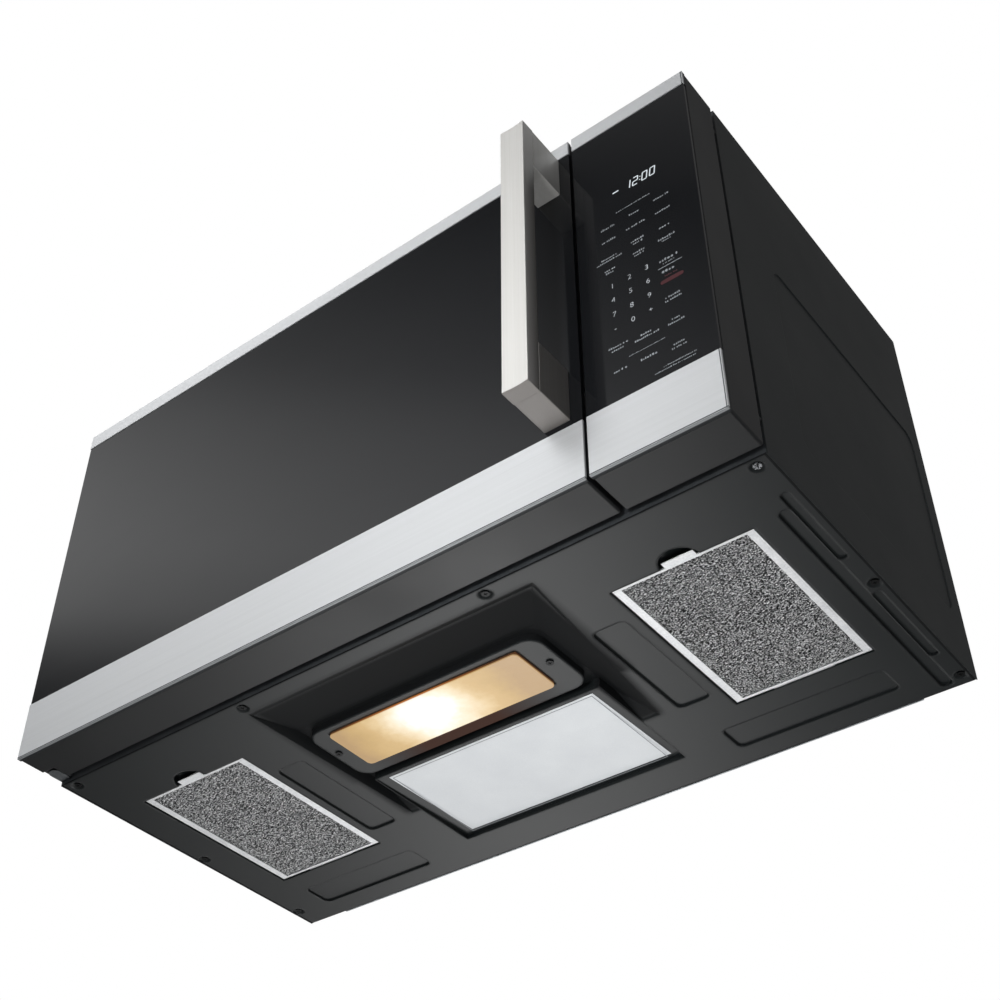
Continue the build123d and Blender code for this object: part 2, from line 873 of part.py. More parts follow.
# ---------------------------------------------------------------- the filters
def filter_frame(span_x):
    """Aluminium rim of a grease filter with its pull tab and rear tongue."""
    x = (span_x[0] + span_x[1]) / 2
    span_y = (filter_front, filter_back)
    low, high = filter_recess, filter_recess + filter_thickness
    body = block(span_x, span_y, (low, high))
    t = filter_rail_sheet
    body -= block((span_x[0] + t, span_x[1] - t), (span_y[0] + t, span_y[1] - t),
                  (low + t, high - t))
    body -= block((span_x[0] + filter_rail, span_x[1] - filter_rail),
                  (span_y[0] + filter_end_rail, span_y[1] - filter_end_rail),
                  (low - t, high + t))
    tab = filter_tab_width / 2
    body += block((x - tab, x + tab), (filter_front - filter_tab_reach, filter_front + t),
                  (low, low + filter_tab_sheet))
    tongue_low = base_sheet + slip
    body += block((x - 2 * tab, x + 2 * tab),
                  (filter_back - t, filter_back + filter_gap + filter_tongue),
                  (tongue_low, tongue_low + filter_tab_sheet))
    return body


def filter_mesh(span_x):
    """Layered expanded metal pad, kept as one coarse net of crossing strands."""
    span_y = (filter_front, filter_back)
    t = filter_rail_sheet
    x0, x1 = span_x[0] + t + running, span_x[1] - t - running
    y0, y1 = span_y[0] + t + running, span_y[1] - t - running
    middle = filter_recess + filter_thickness / 2
    z = (middle - filter_mesh_sheet / 2, middle + filter_mesh_sheet / 2)
    body = block((x0, x1), (y0, y1), z)
    columns = int((x1 - x0 - 2 * filter_rail) // mesh_pitch_x)
    rows = int((y1 - y0 - 2 * filter_rail) // mesh_pitch_y)
    holes = GridLocations(mesh_pitch_x, mesh_pitch_y, columns, rows).locations
    cell = (mesh_pitch_x - mesh_strand, mesh_pitch_y - mesh_strand)
    sketch = Sketch() + [place * Rectangle(*cell) for place in holes]
    net = Pos((x0 + x1) / 2, (y0 + y1) / 2, z[0] - 1) * extrude(sketch, z[1] - z[0] + 2)
    return body - net


# -------------------------------------------------------------- oven cavity
def cavity():
    """Oven box behind the front frame, welded from its five flats."""
    t = cavity_sheet
    x = (cavity_left - t, cavity_right + t)
    y = (frame_plate_back, cavity_back + t)
    z = (cavity_floor, cavity_top)
    bottom = block(x, y, (cavity_floor - t, cavity_floor))
    bottom -= rod_z(cavity_mid_x, turntable_y, (cavity_floor - 2 * t, cavity_floor + t),
                    coupler_shaft_radius + coupler_hole_room)
    top = block(x, y, (cavity_top, cavity_top + t))
    back = block((cavity_left, cavity_right), (cavity_back, cavity_back + t), z)
    port_y = (waveguide_mid_y - port_length / 2, waveguide_mid_y + port_length / 2)
    port_z = (waveguide_mid_z - port_height / 2, waveguide_mid_z + port_height / 2)
    right = block((cavity_right, cavity_right + t), y, z)
    right -= block((cavity_right - t, cavity_right + 2 * t), port_y, port_z)
    vent = GridLocations(cavity_vent_pitch, cavity_vent_pitch,
                         cavity_vent_columns, cavity_vent_rows).locations
    holes = Sketch() + [place * Circle(cavity_vent_radius) for place in vent]
    cut = extrude(Plane.YZ * holes, 4 * t, both=True)
    left = block((cavity_left - t, cavity_left), y, z)
    left -= Pos(cavity_left, turntable_y, cavity_top - cavity_vent_drop) * cut
    return group([bottom, top, back, left, right])


def latch_slots(x, y, room):
    """Openings that the two latch hooks pass through."""
    half = latch_arm_width / 2 + room
    cuts = []
    for z in (latch_low, latch_high):
        low = z - latch_arm_height / 2 - room
        high = z + latch_arm_height / 2 + latch_barb + latch_travel + room
        cuts.append(block((x - half, x + half), y, (low, high)))
    return cuts


def front_frame():
    """Front plate of the chassis with the oven mouth and the bay opening."""
    y = (case_front_y, frame_plate_back)
    cut = (case_front_y - sheet, frame_plate_back + sheet)
    body = block((-inside_half, inside_half), y, (base_sheet, top_under))
    body -= block((cavity_left, cavity_right), cut, (cavity_floor, cavity_top))
    bay = (latch_x - latch_bar_width / 2 - latch_slot_room, inside_half - 2 * board_margin)
    body -= block(bay, cut, (board_low, board_high))
    return body


def bay_floor_plate():
    """Shelf beside the oven that carries the high voltage parts."""
    x = (cavity_right + cavity_sheet, inside_half - side_recess_depth - slip)
    body = block(x, (frame_plate_back, rear_panel_front), (bay_floor, bay_top))
    slot_x = (fan_x - fan_frame_half, fan_x + fan_frame_half)
    slot_y = (transformer_y[1] + bay_vent_front_gap, fan_front - bay_vent_back_gap)
    return body - block(slot_x, slot_y, (bay_floor - 1, bay_top + 1))


# ------------------------------------------------------ microwave generation
def waveguide():
    t = waveguide_sheet
    x = (cavity_right + cavity_sheet, waveguide_right)
    y = (waveguide_front, waveguide_front + waveguide_length)
    z = (waveguide_low, waveguide_low + waveguide_height)
    body = block(x, y, z)
    body -= block((x[0] - t, x[1] - t), (y[0] + t, y[1] - t), (z[0] + t, z[1] - t))
    hole = (waveguide_right - 2 * t, waveguide_right + t)
    return body - rod_x(hole, waveguide_mid_y, waveguide_mid_z, antenna_radius + antenna_room)


def waveguide_cover():
    """Mica sheet over the port inside the oven."""
    half_y = port_length / 2 + mica_margin
    half_z = port_height / 2 + mica_margin
    return block((cavity_right - mica_sheet, cavity_right),
                 (waveguide_mid_y - half_y, waveguide_mid_y + half_y),
                 (waveguide_mid_z - half_z, waveguide_mid_z + half_z))


def magnetron():
    """Anode in its yoke, with cooling fins clamped between the yoke's sides."""
    y, z = waveguide_mid_y, waveguide_mid_z
    x = waveguide_right
    half_y, half_z = waveguide_length / 2, waveguide_height / 2 - magnetron_inset
    body = block((x, x + magnetron_plate), (y - half_y, y + half_y), (z - half_z, z + half_z))
    body += rod_x((x - antenna_length, x), y, z, antenna_radius)
    core = (x + magnetron_plate, x + magnetron_plate + magnetron_core_length)
    body += rod_x(core, y, z, magnetron_core_radius)
    step = magnetron_core_length / (magnetron_fin_count + 1)
    fins = []
    for index in range(1, magnetron_fin_count + 1):
        x_fin = (core[0] + index * step, core[0] + index * step + magnetron_fin_sheet)
        fin = block(x_fin, (y - half_y, y + half_y),
                    (z - half_z + magnetron_yoke, z + half_z - magnetron_yoke))
        fins.append(fin - rod_x((core[0], core[1]), y, z, magnetron_core_radius + running))
    for side in (-1, 1):
        edge = z + side * half_z
        limits = sorted((edge, edge - side * magnetron_yoke))
        body += block(core, (y - half_y, y + half_y), limits)
    back = core[1] + magnetron_yoke
    body += block((core[1], back), (y - half_y, y + half_y), (z - half_z, z + half_z))
    body += block((back, back + magnetron_box_depth), (y - half_y / 2, y + half_y / 2),
                  (z - half_z / 1.4, z + half_z / 1.4))
    return group([body, *fins])


def transformer():
    """Laminated core with its two windings standing on the shelf."""
    z = (bay_top, bay_top + transformer_height)
    core = block(transformer_x, transformer_y, z)
    bulge = transformer_coil_bulge
    limb = transformer_limb
    window = block((transformer_x[0] + limb, transformer_x[1] - limb),
                   (transformer_y[0] - bulge, transformer_y[1] + bulge),
                   (z[0] + limb, z[1] - limb))
    coil = fillet(window.edges().filter_by(Axis.Z), bulge * 0.8)
    return core + coil


def capacitor():
    """Oval can with two terminals on its top."""
    z = (bay_top, bay_top + capacitor_height)
    radius = (capacitor_x[1] - capacitor_x[0]) * 0.47
    items = [soft_block(capacitor_x, capacitor_y, z, radius)]
    middle = (capacitor_x[0] + capacitor_x[1]) / 2
    for y in (capacitor_y[0] + radius, capacitor_y[1] - radius):
        items.append(rod_z(middle, y, (z[1], z[1] + capacitor_terminal_height),
                           capacitor_terminal_radius))
    return group(items)


def fan_shroud():
    """Square frame with a round duct, standing on the shelf on two legs."""
    half = fan_frame_half
    y = (fan_front, fan_back)
    body = block((fan_x - half, fan_x + half), y, (fan_z - half, fan_z + half))
    body -= rod_y(fan_x, (fan_front - 1, fan_back + 1), fan_z, fan_ring_radius)
    for side in (-1, 1):
        inner = fan_x + side * (half - fan_leg_width)
        span = sorted((inner, fan_x + side * half))
        body += block(span, y, (bay_top, fan_z - half))
    arm_y = (fan_back, fan_back + fan_arm_sheet)
    arm = fan_arm_width / 2
    body += block((fan_x - half, fan_x + half), arm_y, (fan_z - arm, fan_z + arm))
    body += rod_y(fan_x, arm_y, fan_z, fan_motor_radius)
    return body - rod_y(fan_x, (fan_back - 1, fan_back + fan_arm_sheet + 1), fan_z,
                        fan_shaft_radius + fan_shaft_room)


def fan_motor():
    front = fan_back + fan_arm_sheet
    body = rod_y(fan_x, (front, front + fan_motor_length), fan_z, fan_motor_radius)
    body = fillet(body.edges(), fan_motor_edge)
    return body - rod_y(fan_x, (front - 1, front + fan_motor_length / 2), fan_z,
                        fan_shaft_radius + running)


def cooling_fan():
    """Axial fan wheel on its shaft."""
    middle = (fan_front + fan_back) / 2
    hub_half = fan_ring_depth / 4
    body = rod_y(fan_x, (middle - hub_half, middle + hub_half), fan_z, fan_hub_radius)
    front = fan_back + fan_arm_sheet
    body += rod_y(fan_x, (middle, front + fan_motor_length / 2 - 1), fan_z, fan_shaft_radius)
    start = fan_hub_radius - fan_blade_root
    length = fan_blade_radius - start
    blade = Pos(start + length / 2, 0, 0) * (
        Rot(fan_blade_pitch, 0, 0) * Box(length, fan_blade_sheet, fan_hub_radius * 1.2))
    for index in range(fan_blade_count):
        turn = 360 / fan_blade_count * index
        body += Pos(fan_x, middle, fan_z) * (Rot(0, turn, 0) * blade)
    return body


# ------------------------------------------------------------- vent blower
def scroll_outline(shrink, top):
    radius = blower_scroll_radius - shrink
    disc = Pos(blower_axis_y, blower_axis_z) * Circle(radius)
    low_y, high_y = blower_axis_y, exhaust_back - shrink - exhaust_notch
    throat = Pos((low_y + high_y) / 2, (blower_axis_z + top) / 2) * Rectangle(
        high_y - low_y, top - blower_axis_z)
    return disc + throat


def blower_housing():
    """Two scroll casings on one base strip, blowing up through the top."""
    body = None
    t = blower_scroll_sheet
    inner_x = blower_motor_length / 2 + blower_motor_gap
    for side in (-1, 1):
        x = sorted((side * inner_x, side * (inner_x + blower_scroll_length)))
        shell = extrude(Plane.YZ * scroll_outline(0, top_under), x[1] - x[0])
        shell = Pos(x[0], 0, 0) * shell
        hollow = extrude(Plane.YZ * scroll_outline(t, top_under + t), x[1] - x[0] - 2 * t)
        shell -= Pos(x[0] + t, 0, 0) * hollow
        shell -= rod_x((x[0] - t, x[1] + t), blower_axis_y, blower_axis_z,
                       blower_inlet_radius)
        body = shell if body is None else body + shell
    low = blower_axis_z - blower_scroll_radius
    strip_y = (blower_axis_y - blower_cradle_width, blower_axis_y + blower_cradle_width)
    end = inner_x + blower_scroll_length
    body += block((-end, end), strip_y, (cavity_top + cavity_sheet, low + t))
    cradle_x = blower_motor_length / 4
    saddle = block((-cradle_x, cradle_x), strip_y, (low, blower_axis_z - blower_saddle_drop))
    saddle -= rod_x((-inner_x, inner_x), blower_axis_y, blower_axis_z, blower_motor_radius)
    return body + saddle


def blower_motor():
    half = blower_motor_length / 2
    body = rod_x((-half, half), blower_axis_y, blower_axis_z, blower_motor_radius)
    body = fillet(body.edges(), blower_motor_edge)
    return body - rod_x((-half - 1, half + 1), blower_axis_y, blower_axis_z,
                        blower_shaft_radius + running)


def blower_wheels():
    """Two drum wheels on one long shaft through the motor."""
    wall = blower_scroll_sheet + blower_wheel_gap
    start = blower_motor_length / 2 + blower_motor_gap
    inner = start + wall
    outer = start + blower_scroll_length - wall
    body = rod_x((-outer, outer), blower_axis_y, blower_axis_z, blower_shaft_radius)
    mid_radius = (blower_wheel_radius + blower_wheel_bore) / 2
    depth = blower_wheel_radius - blower_wheel_bore
    blade = Pos(0, 0, mid_radius) * Box(outer - inner, blower_blade_sheet, depth)
    for side in (-1, 1):
        middle = side * (inner + outer) / 2
        disc = sorted((side * outer, side * (outer - blower_disc_sheet)))
        body += rod_x(disc, blower_axis_y, blower_axis_z, blower_wheel_radius)
        rim_x = sorted((side * inner, side * (inner + blower_rim_width)))
        rim = rod_x(rim_x, blower_axis_y, blower_axis_z, blower_wheel_radius)
        body += rim - rod_x((rim_x[0] - 1, rim_x[1] + 1), blower_axis_y, blower_axis_z,
                            blower_wheel_bore)
        for index in range(blower_blade_count):
            turn = 360 / blower_blade_count * index
            place = Pos(middle, blower_axis_y, blower_axis_z) * Rot(turn, 0, 0)
            body += place * blade
    return body


# -------------------------------------------------------------- vent grille
def vent_grille():
    """Slotted outlet in the top, with the pocket of the charcoal filter."""
    half = grille_half - slip
    y = (grille_front + slip, grille_back - slip)
    z = (overall_height - grille_sheet, overall_height)
    body = block((-half, half), y, z)
    count = int(2 * (grille_screw_x - grille_slot_end) // grille_slot_pitch)
    slots = GridLocations(grille_slot_pitch, 1, count, 1).locations
    sketch = Sketch() + [place * SlotOverall(grille_slot_length, grille_slot_width, rotation=90)
                         for place in slots]
    mid_y = (y[0] + y[1]) / 2
    body -= Pos(0, mid_y, z[0] - 1) * extrude(sketch, grille_sheet + 2)
    skirt_z = (overall_height - grille_skirt, z[0])
    run = charcoal_half
    for edge, way in ((y[0], 1), (y[1], -1)):
        wall = sorted((edge, edge + way * grille_skirt_sheet))
        body += block((-run, run), wall, skirt_z)
        lip = sorted((edge, edge + way * grille_lip))
        body += block((-run, run), lip, (skirt_z[0], skirt_z[0] + grille_skirt_sheet))
    for side in (-1, 1):
        body -= rod_z(side * grille_screw_x, mid_y, (z[0] - 1, z[1] + 1),
                      screw_shank_radius + running)
        dip = (z[1] - screw_head_height, z[1] + 1)
        body -= rod_z(side * grille_screw_x, mid_y, dip, screw_head_radius + slip)
    return body


def charcoal_filter():
    low = overall_height - grille_skirt + grille_skirt_sheet
    mid_y = (grille_front + grille_back) / 2
    half = charcoal_depth / 2
    return block((-charcoal_half, charcoal_half), (mid_y - half, mid_y + half),
                 (low, low + charcoal_thickness))


def cord_gland():
    """Grommet for the mains lead in the top of the case."""
    flange_top = top_under
    body = rod_z(gland_x, gland_y, (overall_height - gland_length, overall_height),
                 gland_radius - running)
    body += rod_z(gland_x, gland_y, (flange_top - gland_flange, flange_top),
                  gland_flange_radius)
    return body - rod_z(gland_x, gland_y, (0, 2 * overall_height), gland_bore_radius)


# --------------------------------------------------------------- turntable
def turntable_motor():
    top = cavity_floor - cavity_sheet
    low = top - turntable_motor_height
    body = rod_z(cavity_mid_x, turntable_y, (low, top), turntable_motor_radius)
    ear = turntable_motor_radius + turntable_ear
    half = turntable_ear_half_width
    body += soft_block((cavity_mid_x - ear, cavity_mid_x + ear),
                       (turntable_y - half, turntable_y + half),
                       (top - turntable_ear_sheet, top), turntable_ear_radius)
    return body - rod_z(cavity_mid_x, turntable_y, (low + turntable_motor_floor, top + 1),
                        coupler_shaft_radius + running)


def turntable_coupler():
    """Three lobed drive hub on the motor shaft."""
    low = cavity_floor + coupler_floor_gap
    body = rod_z(cavity_mid_x, turntable_y, (low, coupler_top), coupler_hub_radius)
    lobe = coupler_lobe_radius - coupler_pin_radius
    for index in range(3):
        turn = radians(90 + 120 * index)
        body += rod_z(cavity_mid_x + lobe * cos(turn), turntable_y + lobe * sin(turn),
                      (low, coupler_top), coupler_pin_radius)
        body += Pos(cavity_mid_x, turntable_y, (low + coupler_top) / 2) * (
            Rot(0, 0, 90 + 120 * index) * (Pos(lobe / 2, 0, 0) * Box(
                lobe, coupler_arm_width, coupler_top - low)))
    motor_low = cavity_floor - cavity_sheet - turntable_motor_height
    shaft_low = motor_low + turntable_motor_floor + slip
    return body + rod_z(cavity_mid_x, turntable_y, (shaft_low, low), coupler_shaft_radius)


def glass_tray():
    """Round glass plate with a raised rim."""
    t = tray_glass
    flat = tray_radius - tray_rim_run
    edge = tray_radius - tray_edge
    profile = Polyline([
        (0, 0, 0), (flat, 0, 0), (tray_radius, 0, tray_rim_height - tray_edge),
        (edge, 0, tray_rim_height), (edge - tray_rim_land, 0, tray_rim_height),
        (flat - t / 2, 0, t), (0, 0, t)], close=True)
    return Pos(cavity_mid_x, turntable_y, tray_under) * revolve(make_face(profile), Axis.Z)


def roller_places():
    for index in range(roller_count):
        yield 90 + 360 / roller_count * index


def roller_ring():
    """Ring that carries the rollers under the tray."""
    outer = roller_track - roller_length / 2 - roller_side_gap
    z = (roller_z - ring_height / 2, roller_z + ring_height / 2)
    body = rod_z(0, 0, z, outer) - rod_z(0, 0, (z[0] - 1, z[1] + 1), outer - ring_width)
    tip = roller_track + roller_length / 2 + slip
    for turn in roller_places():
        axle = rod_x((outer - 1, tip), 0, roller_z, roller_axle_radius)
        head = rod_x((tip, tip + roller_head_length), 0, roller_z, roller_head_radius)
        body += Rot(0, 0, turn) * (axle + head)
    return Pos(cavity_mid_x, turntable_y, 0) * body


def roller(turn):
    limits = (roller_track - roller_length / 2, roller_track + roller_length / 2)
    body = rod_x(limits, 0, roller_z, roller_radius)
    body = fillet(body.edges(), 1.0)
    body -= rod_x((limits[0] - 1, limits[1] + 1), 0, roller_z, roller_axle_radius + running)
    return Pos(cavity_mid_x, turntable_y, 0) * (Rot(0, 0, turn) * body)


# -------------------------------------------------- door and panel carcasses
def carcass(x, window_x, window_z):
    """Open backed frame of the door or of the panel, behind its glass."""
    body = soft_block(x, (web_front, door_back_y), (door_low, door_high),
                      corner_radius, Axis.Y)
    t = frame_wall
    inner_x = (x[0] + t, x[1] - t)
    inner_z = (door_low + t, door_high - t)
    body -= block(inner_x, (web_back, rim_front), inner_z)
    rim = rear_rim_width
    body -= block((x[0] + rim, x[1] - rim), (rim_front - 1, door_back_y + 1),
                  (door_low + rim, door_high - rim))
    body -= block(window_x, (web_front - 1, web_back + 1), window_z)
    return body


def strip(x, z, free_ends):
    """Bright strip folded round the edges of the carcass front."""
    y = (front_y, front_y + strip_sheet)
    body = block(x, y, z)
    back = web_front
    low, high = free_ends
    t = strip_sheet
    if low:
        body += block(x, (front_y, back), (z[0], z[0] + t))
    if high:
        body += block(x, (front_y, back), (z[1] - t, z[1]))
    for side in (0, 1):
        span = (x[0], x[0] + t) if side == 0 else (x[1] - t, x[1])
        body += block(span, (front_y, back), z)
    edges = body.faces().sort_by(Axis.Y)[0].edges()
    return fillet(edges, strip_edge_radius)


def pane(x):
    return soft_block(x, (glass_front, web_front), (glass_low + slip, glass_high - slip),
                      glass_corner_radius, Axis.Y)


# -------------------------------------------------------------------- door
def hinge_ends():
    """Inner end, outer face and direction of the lower and the upper hinge."""
    yield door_low, 1
    yield door_high, -1


def hinge_leaf_limits(edge, way):
    low = edge + way * hinge_leaf_inset
    return sorted((low, low + way * hinge_leaf))


def door_frame():
    """Door carcass with bored bosses for the hinge pins."""
    body = carcass((door_left, door_right), (window_left, window_right),
                   (window_low, window_high))
    margin = hinge_notch_margin
    notch_x = (door_left - 1, hinge_x + hinge_leaf_half_width + margin)
    notch_y = (hinge_y - hinge_leaf_half_width - 2 * margin, door_back_y + 1)
    for edge, way in hinge_ends():
        leaf_end = edge + way * (hinge_leaf_inset + hinge_leaf + slip)
        boss_end = edge + way * (hinge_pin_length + hinge_boss_floor)
        boss = rod_z(hinge_x, hinge_y, sorted((leaf_end, boss_end)), hinge_boss_radius)
        web = block((door_left + frame_wall, hinge_x + hinge_boss_radius),
                    (hinge_y - hinge_web / 2, hinge_y + hinge_web / 2),
                    sorted((leaf_end, boss_end)))
        body += boss + web
        body -= block(notch_x, notch_y, sorted((edge - way, leaf_end)))
        body -= rod_z(hinge_x, hinge_y, sorted((edge, boss_end - way * hinge_boss_floor / 2)),
                      hinge_pin_radius + running)
    for z in handle_screw_heights():
        body -= rod_y(handle_mid_x, (web_front - 1, web_back + 1), z,
                      handle_screw_radius + running)
    guide_x = (latch_x - latch_bar_width, latch_x + latch_bar_width)
    for z in (latch_low + latch_overrun, latch_high - latch_overrun - latch_guide):
        body += block(guide_x, (web_back, latch_bar_y - slip), (z, z + latch_guide))
    return body


def hinge_brackets():
    """Leaf and pin of the lower and the upper hinge, fixed to the case."""
    items = []
    for edge, way in hinge_ends():
        z = hinge_leaf_limits(edge, way)
        half = hinge_leaf_half_width
        leaf = rod_z(hinge_x, hinge_y, z, half)
        leaf += block((hinge_x - half, hinge_x + half), (hinge_y, case_front_y), z)
        foot = sorted((z[0] if way > 0 else z[1], (z[0] if way > 0 else z[1])
                       + way * hinge_back_leaf))
        leaf += block((hinge_x - half, hinge_x + half),
                      (case_front_y - hinge_leaf, case_front_y), foot)
        far = edge + way * hinge_pin_length
        pin = rod_z(hinge_x, hinge_y, sorted((z[0] if way > 0 else z[1], far)),
                    hinge_pin_radius)
        items.append(leaf + pin)
    return group(items)


def door_glass():
    body = pane((door_left + case_inset, door_right))
    for z in handle_screw_heights():
        body -= rod_y(handle_mid_x, (glass_front - 1, web_front + 1), z,
                      handle_screw_radius + running)
    return body


def inner_door_panel():
    """Steel pan that closes the door's back, with the choke plateau."""
    rim = rear_rim_width - pan_overlap
    x = (door_left + rim, door_right - rim)
    z = (door_low + rim, door_high - rim)
    t = choke_sheet
    notch = hinge_side_inset + hinge_boss_radius + hinge_pan_gap
    body = block(x, (rim_front - t, rim_front), z)
    body += block((choke_left, choke_right), (rim_front - t, choke_back), (choke_low, choke_high))
    inner_x = (choke_left + t, choke_right - t)
    inner_z = (choke_low + t, choke_high - t)
    body -= block(inner_x, (rim_front - 2 * t, choke_back - t), inner_z)
    cut = (rim_front - 2 * t, choke_back + t)
    body -= block((window_left, window_right), cut, (window_low, window_high))
    for edge, way in hinge_ends():
        body -= block((door_left, door_left + notch), cut,
                      sorted((edge, edge + way * (hinge_pin_length + hinge_pan_gap))))
    for slot in latch_slots(latch_x, cut, latch_slot_room / 2):
        body -= slot
    return body


def door_screen():
    """Perforated sheet behind the window that keeps the microwaves in."""
    margin = screen_margin
    y = (choke_back - choke_sheet - screen_sheet, choke_back - choke_sheet)
    x = (window_left - margin, window_right + margin)
    z = (window_low - margin, window_high + margin)
    body = block(x, y, z)
    columns = int((window_right - window_left) // screen_pitch)
    rows = int((window_high - window_low) // screen_pitch)
    holes = GridLocations(screen_pitch, screen_pitch, columns, rows).locations
    sketch = Sketch() + [place * Circle(screen_hole_radius) for place in holes]
    cut = Rot(90, 0, 0) * extrude(sketch, 2 * screen_sheet, both=True)
    middle = ((x[0] + x[1]) / 2, (y[0] + y[1]) / 2, (z[0] + z[1]) / 2)
    return body - Pos(*middle) * cut


def choke_cover():
    """Plastic ring over the choke slot around the window."""
    t = choke_cover_sheet
    w = choke_ring_width
    y = (choke_back, choke_back + t)
    body = block((choke_left + t, choke_right - t), y, (choke_low + t, choke_high - t))
    return body - block((choke_left + w, choke_right - w), (y[0] - 1, y[1] + 1),
                        (choke_low + w, choke_high - w))


# ------------------------------------------------------------------ handle
def handle_screw_heights():
    return (handle_low + handle_bottom_post / 2, handle_high - handle_top_post / 2)


def handle_face():
    """Thin front plate of the handle with a shallow dished face."""
    back = handle_front + handle_face_sheet
    body = block((handle_left, handle_right), (handle_front, back), (handle_low, handle_high))
    body = fillet(body.edges().filter_by(Axis.Z), handle_face_edge_radius)
    half = handle_width / 2 - handle_dish_margin
    dish = handle_face_dish / 2
    radius = (half * half + dish * dish) / (2 * dish)
    return body - rod_z(handle_mid_x, handle_front - radius + dish,
                        (handle_low - 1, handle_high + 1), radius)


def handle_bar():
    y = (handle_front + handle_face_sheet, handle_back)
    body = block((handle_left, handle_right), y, (handle_low, handle_high))
    return fillet(body.faces().sort_by(Axis.Y)[-1].edges().filter_by(Axis.Z),
                  handle_edge_radius)


def handle_posts():
    """Full width blocks that hold the bar off the door."""
    items = []
    top_z = handle_high - handle_top_post
    for z in ((handle_low, handle_low + handle_bottom_post), (top_z, handle_high)):
        post = soft_block((handle_left, handle_right), (handle_back, glass_front), z,
                          handle_edge_radius, Axis.Y)
        middle = (z[0] + z[1]) / 2
        post -= rod_y(handle_mid_x, (glass_front - handle_screw_bite - 1, glass_front + 1),
                      middle, handle_screw_radius + running)
        items.append(post)
    return group(items)


def handle_screws():
    items = []
    for z in handle_screw_heights():
        head = rod_y(handle_mid_x, (web_back, web_back + handle_screw_head_height), z,
                     handle_screw_head_radius)
        shank = rod_y(handle_mid_x, (glass_front - handle_screw_bite, web_back), z,
                      handle_screw_radius)
        items.append(head + shank)
    return group(items)


# ------------------------------------------------------- latch and switches
def latch_hooks():
    """Sprung bar in the door with two hooks that reach into the case."""
    half = latch_bar_width / 2
    y = (latch_bar_y, latch_bar_y + latch_bar_sheet)
    body = block((latch_x - half, latch_x + half), y,
                 (latch_low - latch_overrun, latch_high + latch_overrun))
    tip = frame_plate_back + latch_reach
    for z in (latch_low, latch_high):
        low, high = z - latch_arm_height / 2, z + latch_arm_height / 2
        span = (latch_x - latch_arm_width / 2, latch_x + latch_arm_width / 2)
        body += block(span, (latch_bar_y, tip), (low, high))
        heel = tip - latch_barb_length
        outline = [(tip, high), (heel, high), (heel, high + latch_barb)]
        body += along_x(outline, span)
    return body


def interlock_bracket():
    """Plastic carrier of the door switches, clamped across the bay opening."""
    z = (board_low - interlock_overlap, board_high + interlock_overlap)
    x = (interlock_x, interlock_x + interlock_sheet)
    body = block(x, (frame_plate_back, interlock_back), z)
    body += block((x[0], x[0] + interlock_flange),
                  (frame_plate_back, frame_plate_back + interlock_flange_sheet), z)
    for height in (latch_low, latch_high):
        body -= rod_x((x[0] - 1, x[1] + 1), switch_y(), height, plunger_radius + running)
    return body


def switch_y():
    return interlock_back - switch_back_gap


def door_switches():
    items = []
    face = interlock_x + interlock_sheet
    y = switch_y()
    for z in (latch_low, latch_high):
        back = interlock_back - switch_back_gap / 8
        body = block((face, face + switch_width), (back - switch_length, back),
                     (z - switch_height / 2, z + switch_height / 2))
        body -= rod_x((face - 1, face + switch_bore_depth), y, z, plunger_radius + running)
        items.append(body)
    return group(items)


def switch_plungers():
    face = interlock_x + interlock_sheet
    start = latch_x + latch_arm_width / 2 + plunger_room
    tail = face + switch_bore_depth - plunger_travel - slip
    return group([rod_x((start, tail), switch_y(), z, plunger_radius)
                  for z in (latch_low, latch_high)])


# ------------------------------------------------------------ control panel
def board_posts():
    inset = frame_wall + board_margin + board_post_radius
    for x in (panel_left + inset, half_width - inset):
        for z in (board_low + board_margin, board_high - board_margin):
            yield x, z


def panel_frame():
    """Panel carcass with posts for the board and lugs against the case."""
    x = (panel_left, half_width)
    window = (panel_left + panel_window_side, half_width - panel_window_side)
    body = carcass(x, window, (board_low + panel_window_end, board_high - panel_window_end))
    for px, pz in board_posts():
        body += rod_y(px, (web_back, web_back + board_stand_off), pz, board_post_radius)
    for px in (panel_left + rear_rim_width / 2, half_width - rear_rim_width / 2):
        for pz in (door_low + panel_lug_inset, door_high - panel_lug_inset):
            body += rod_y(px, (door_back_y - 1, case_front_y), pz, panel_lug_radius)
    return body


def panel_glass():
    return pane((panel_left, half_width - case_inset))


def control_board():
    """Circuit board with its relay and the back of its display."""
    y = (web_back + board_stand_off, web_back + board_stand_off + board_sheet)
    inset = frame_wall + board_margin / 2
    board = block((panel_left + inset, half_width - inset), y, (board_low, board_high))
    part_y = (y[1], y[1] + relay_height)
    left, low = panel_left + relay_inset, board_low + relay_inset
    relay = block((left, left + relay_size[0]), part_y, (low, low + relay_size[1]))
    left, high = panel_left + display_inset, board_high - display_drop
    display = block((left, left + display_size[0]), part_y, (high - display_size[1], high))
    return group([board, relay, display])


# -------------------------------------------------------------- the assembly
def door_strip(z, free_ends):
    return strip((door_left, door_right), z, free_ends)


def panel_strip(z, free_ends):
    return strip((panel_left, half_width), z, free_ends)


bottom_strip_z = (door_low, glass_low)
top_strip_z = (glass_high, door_high)

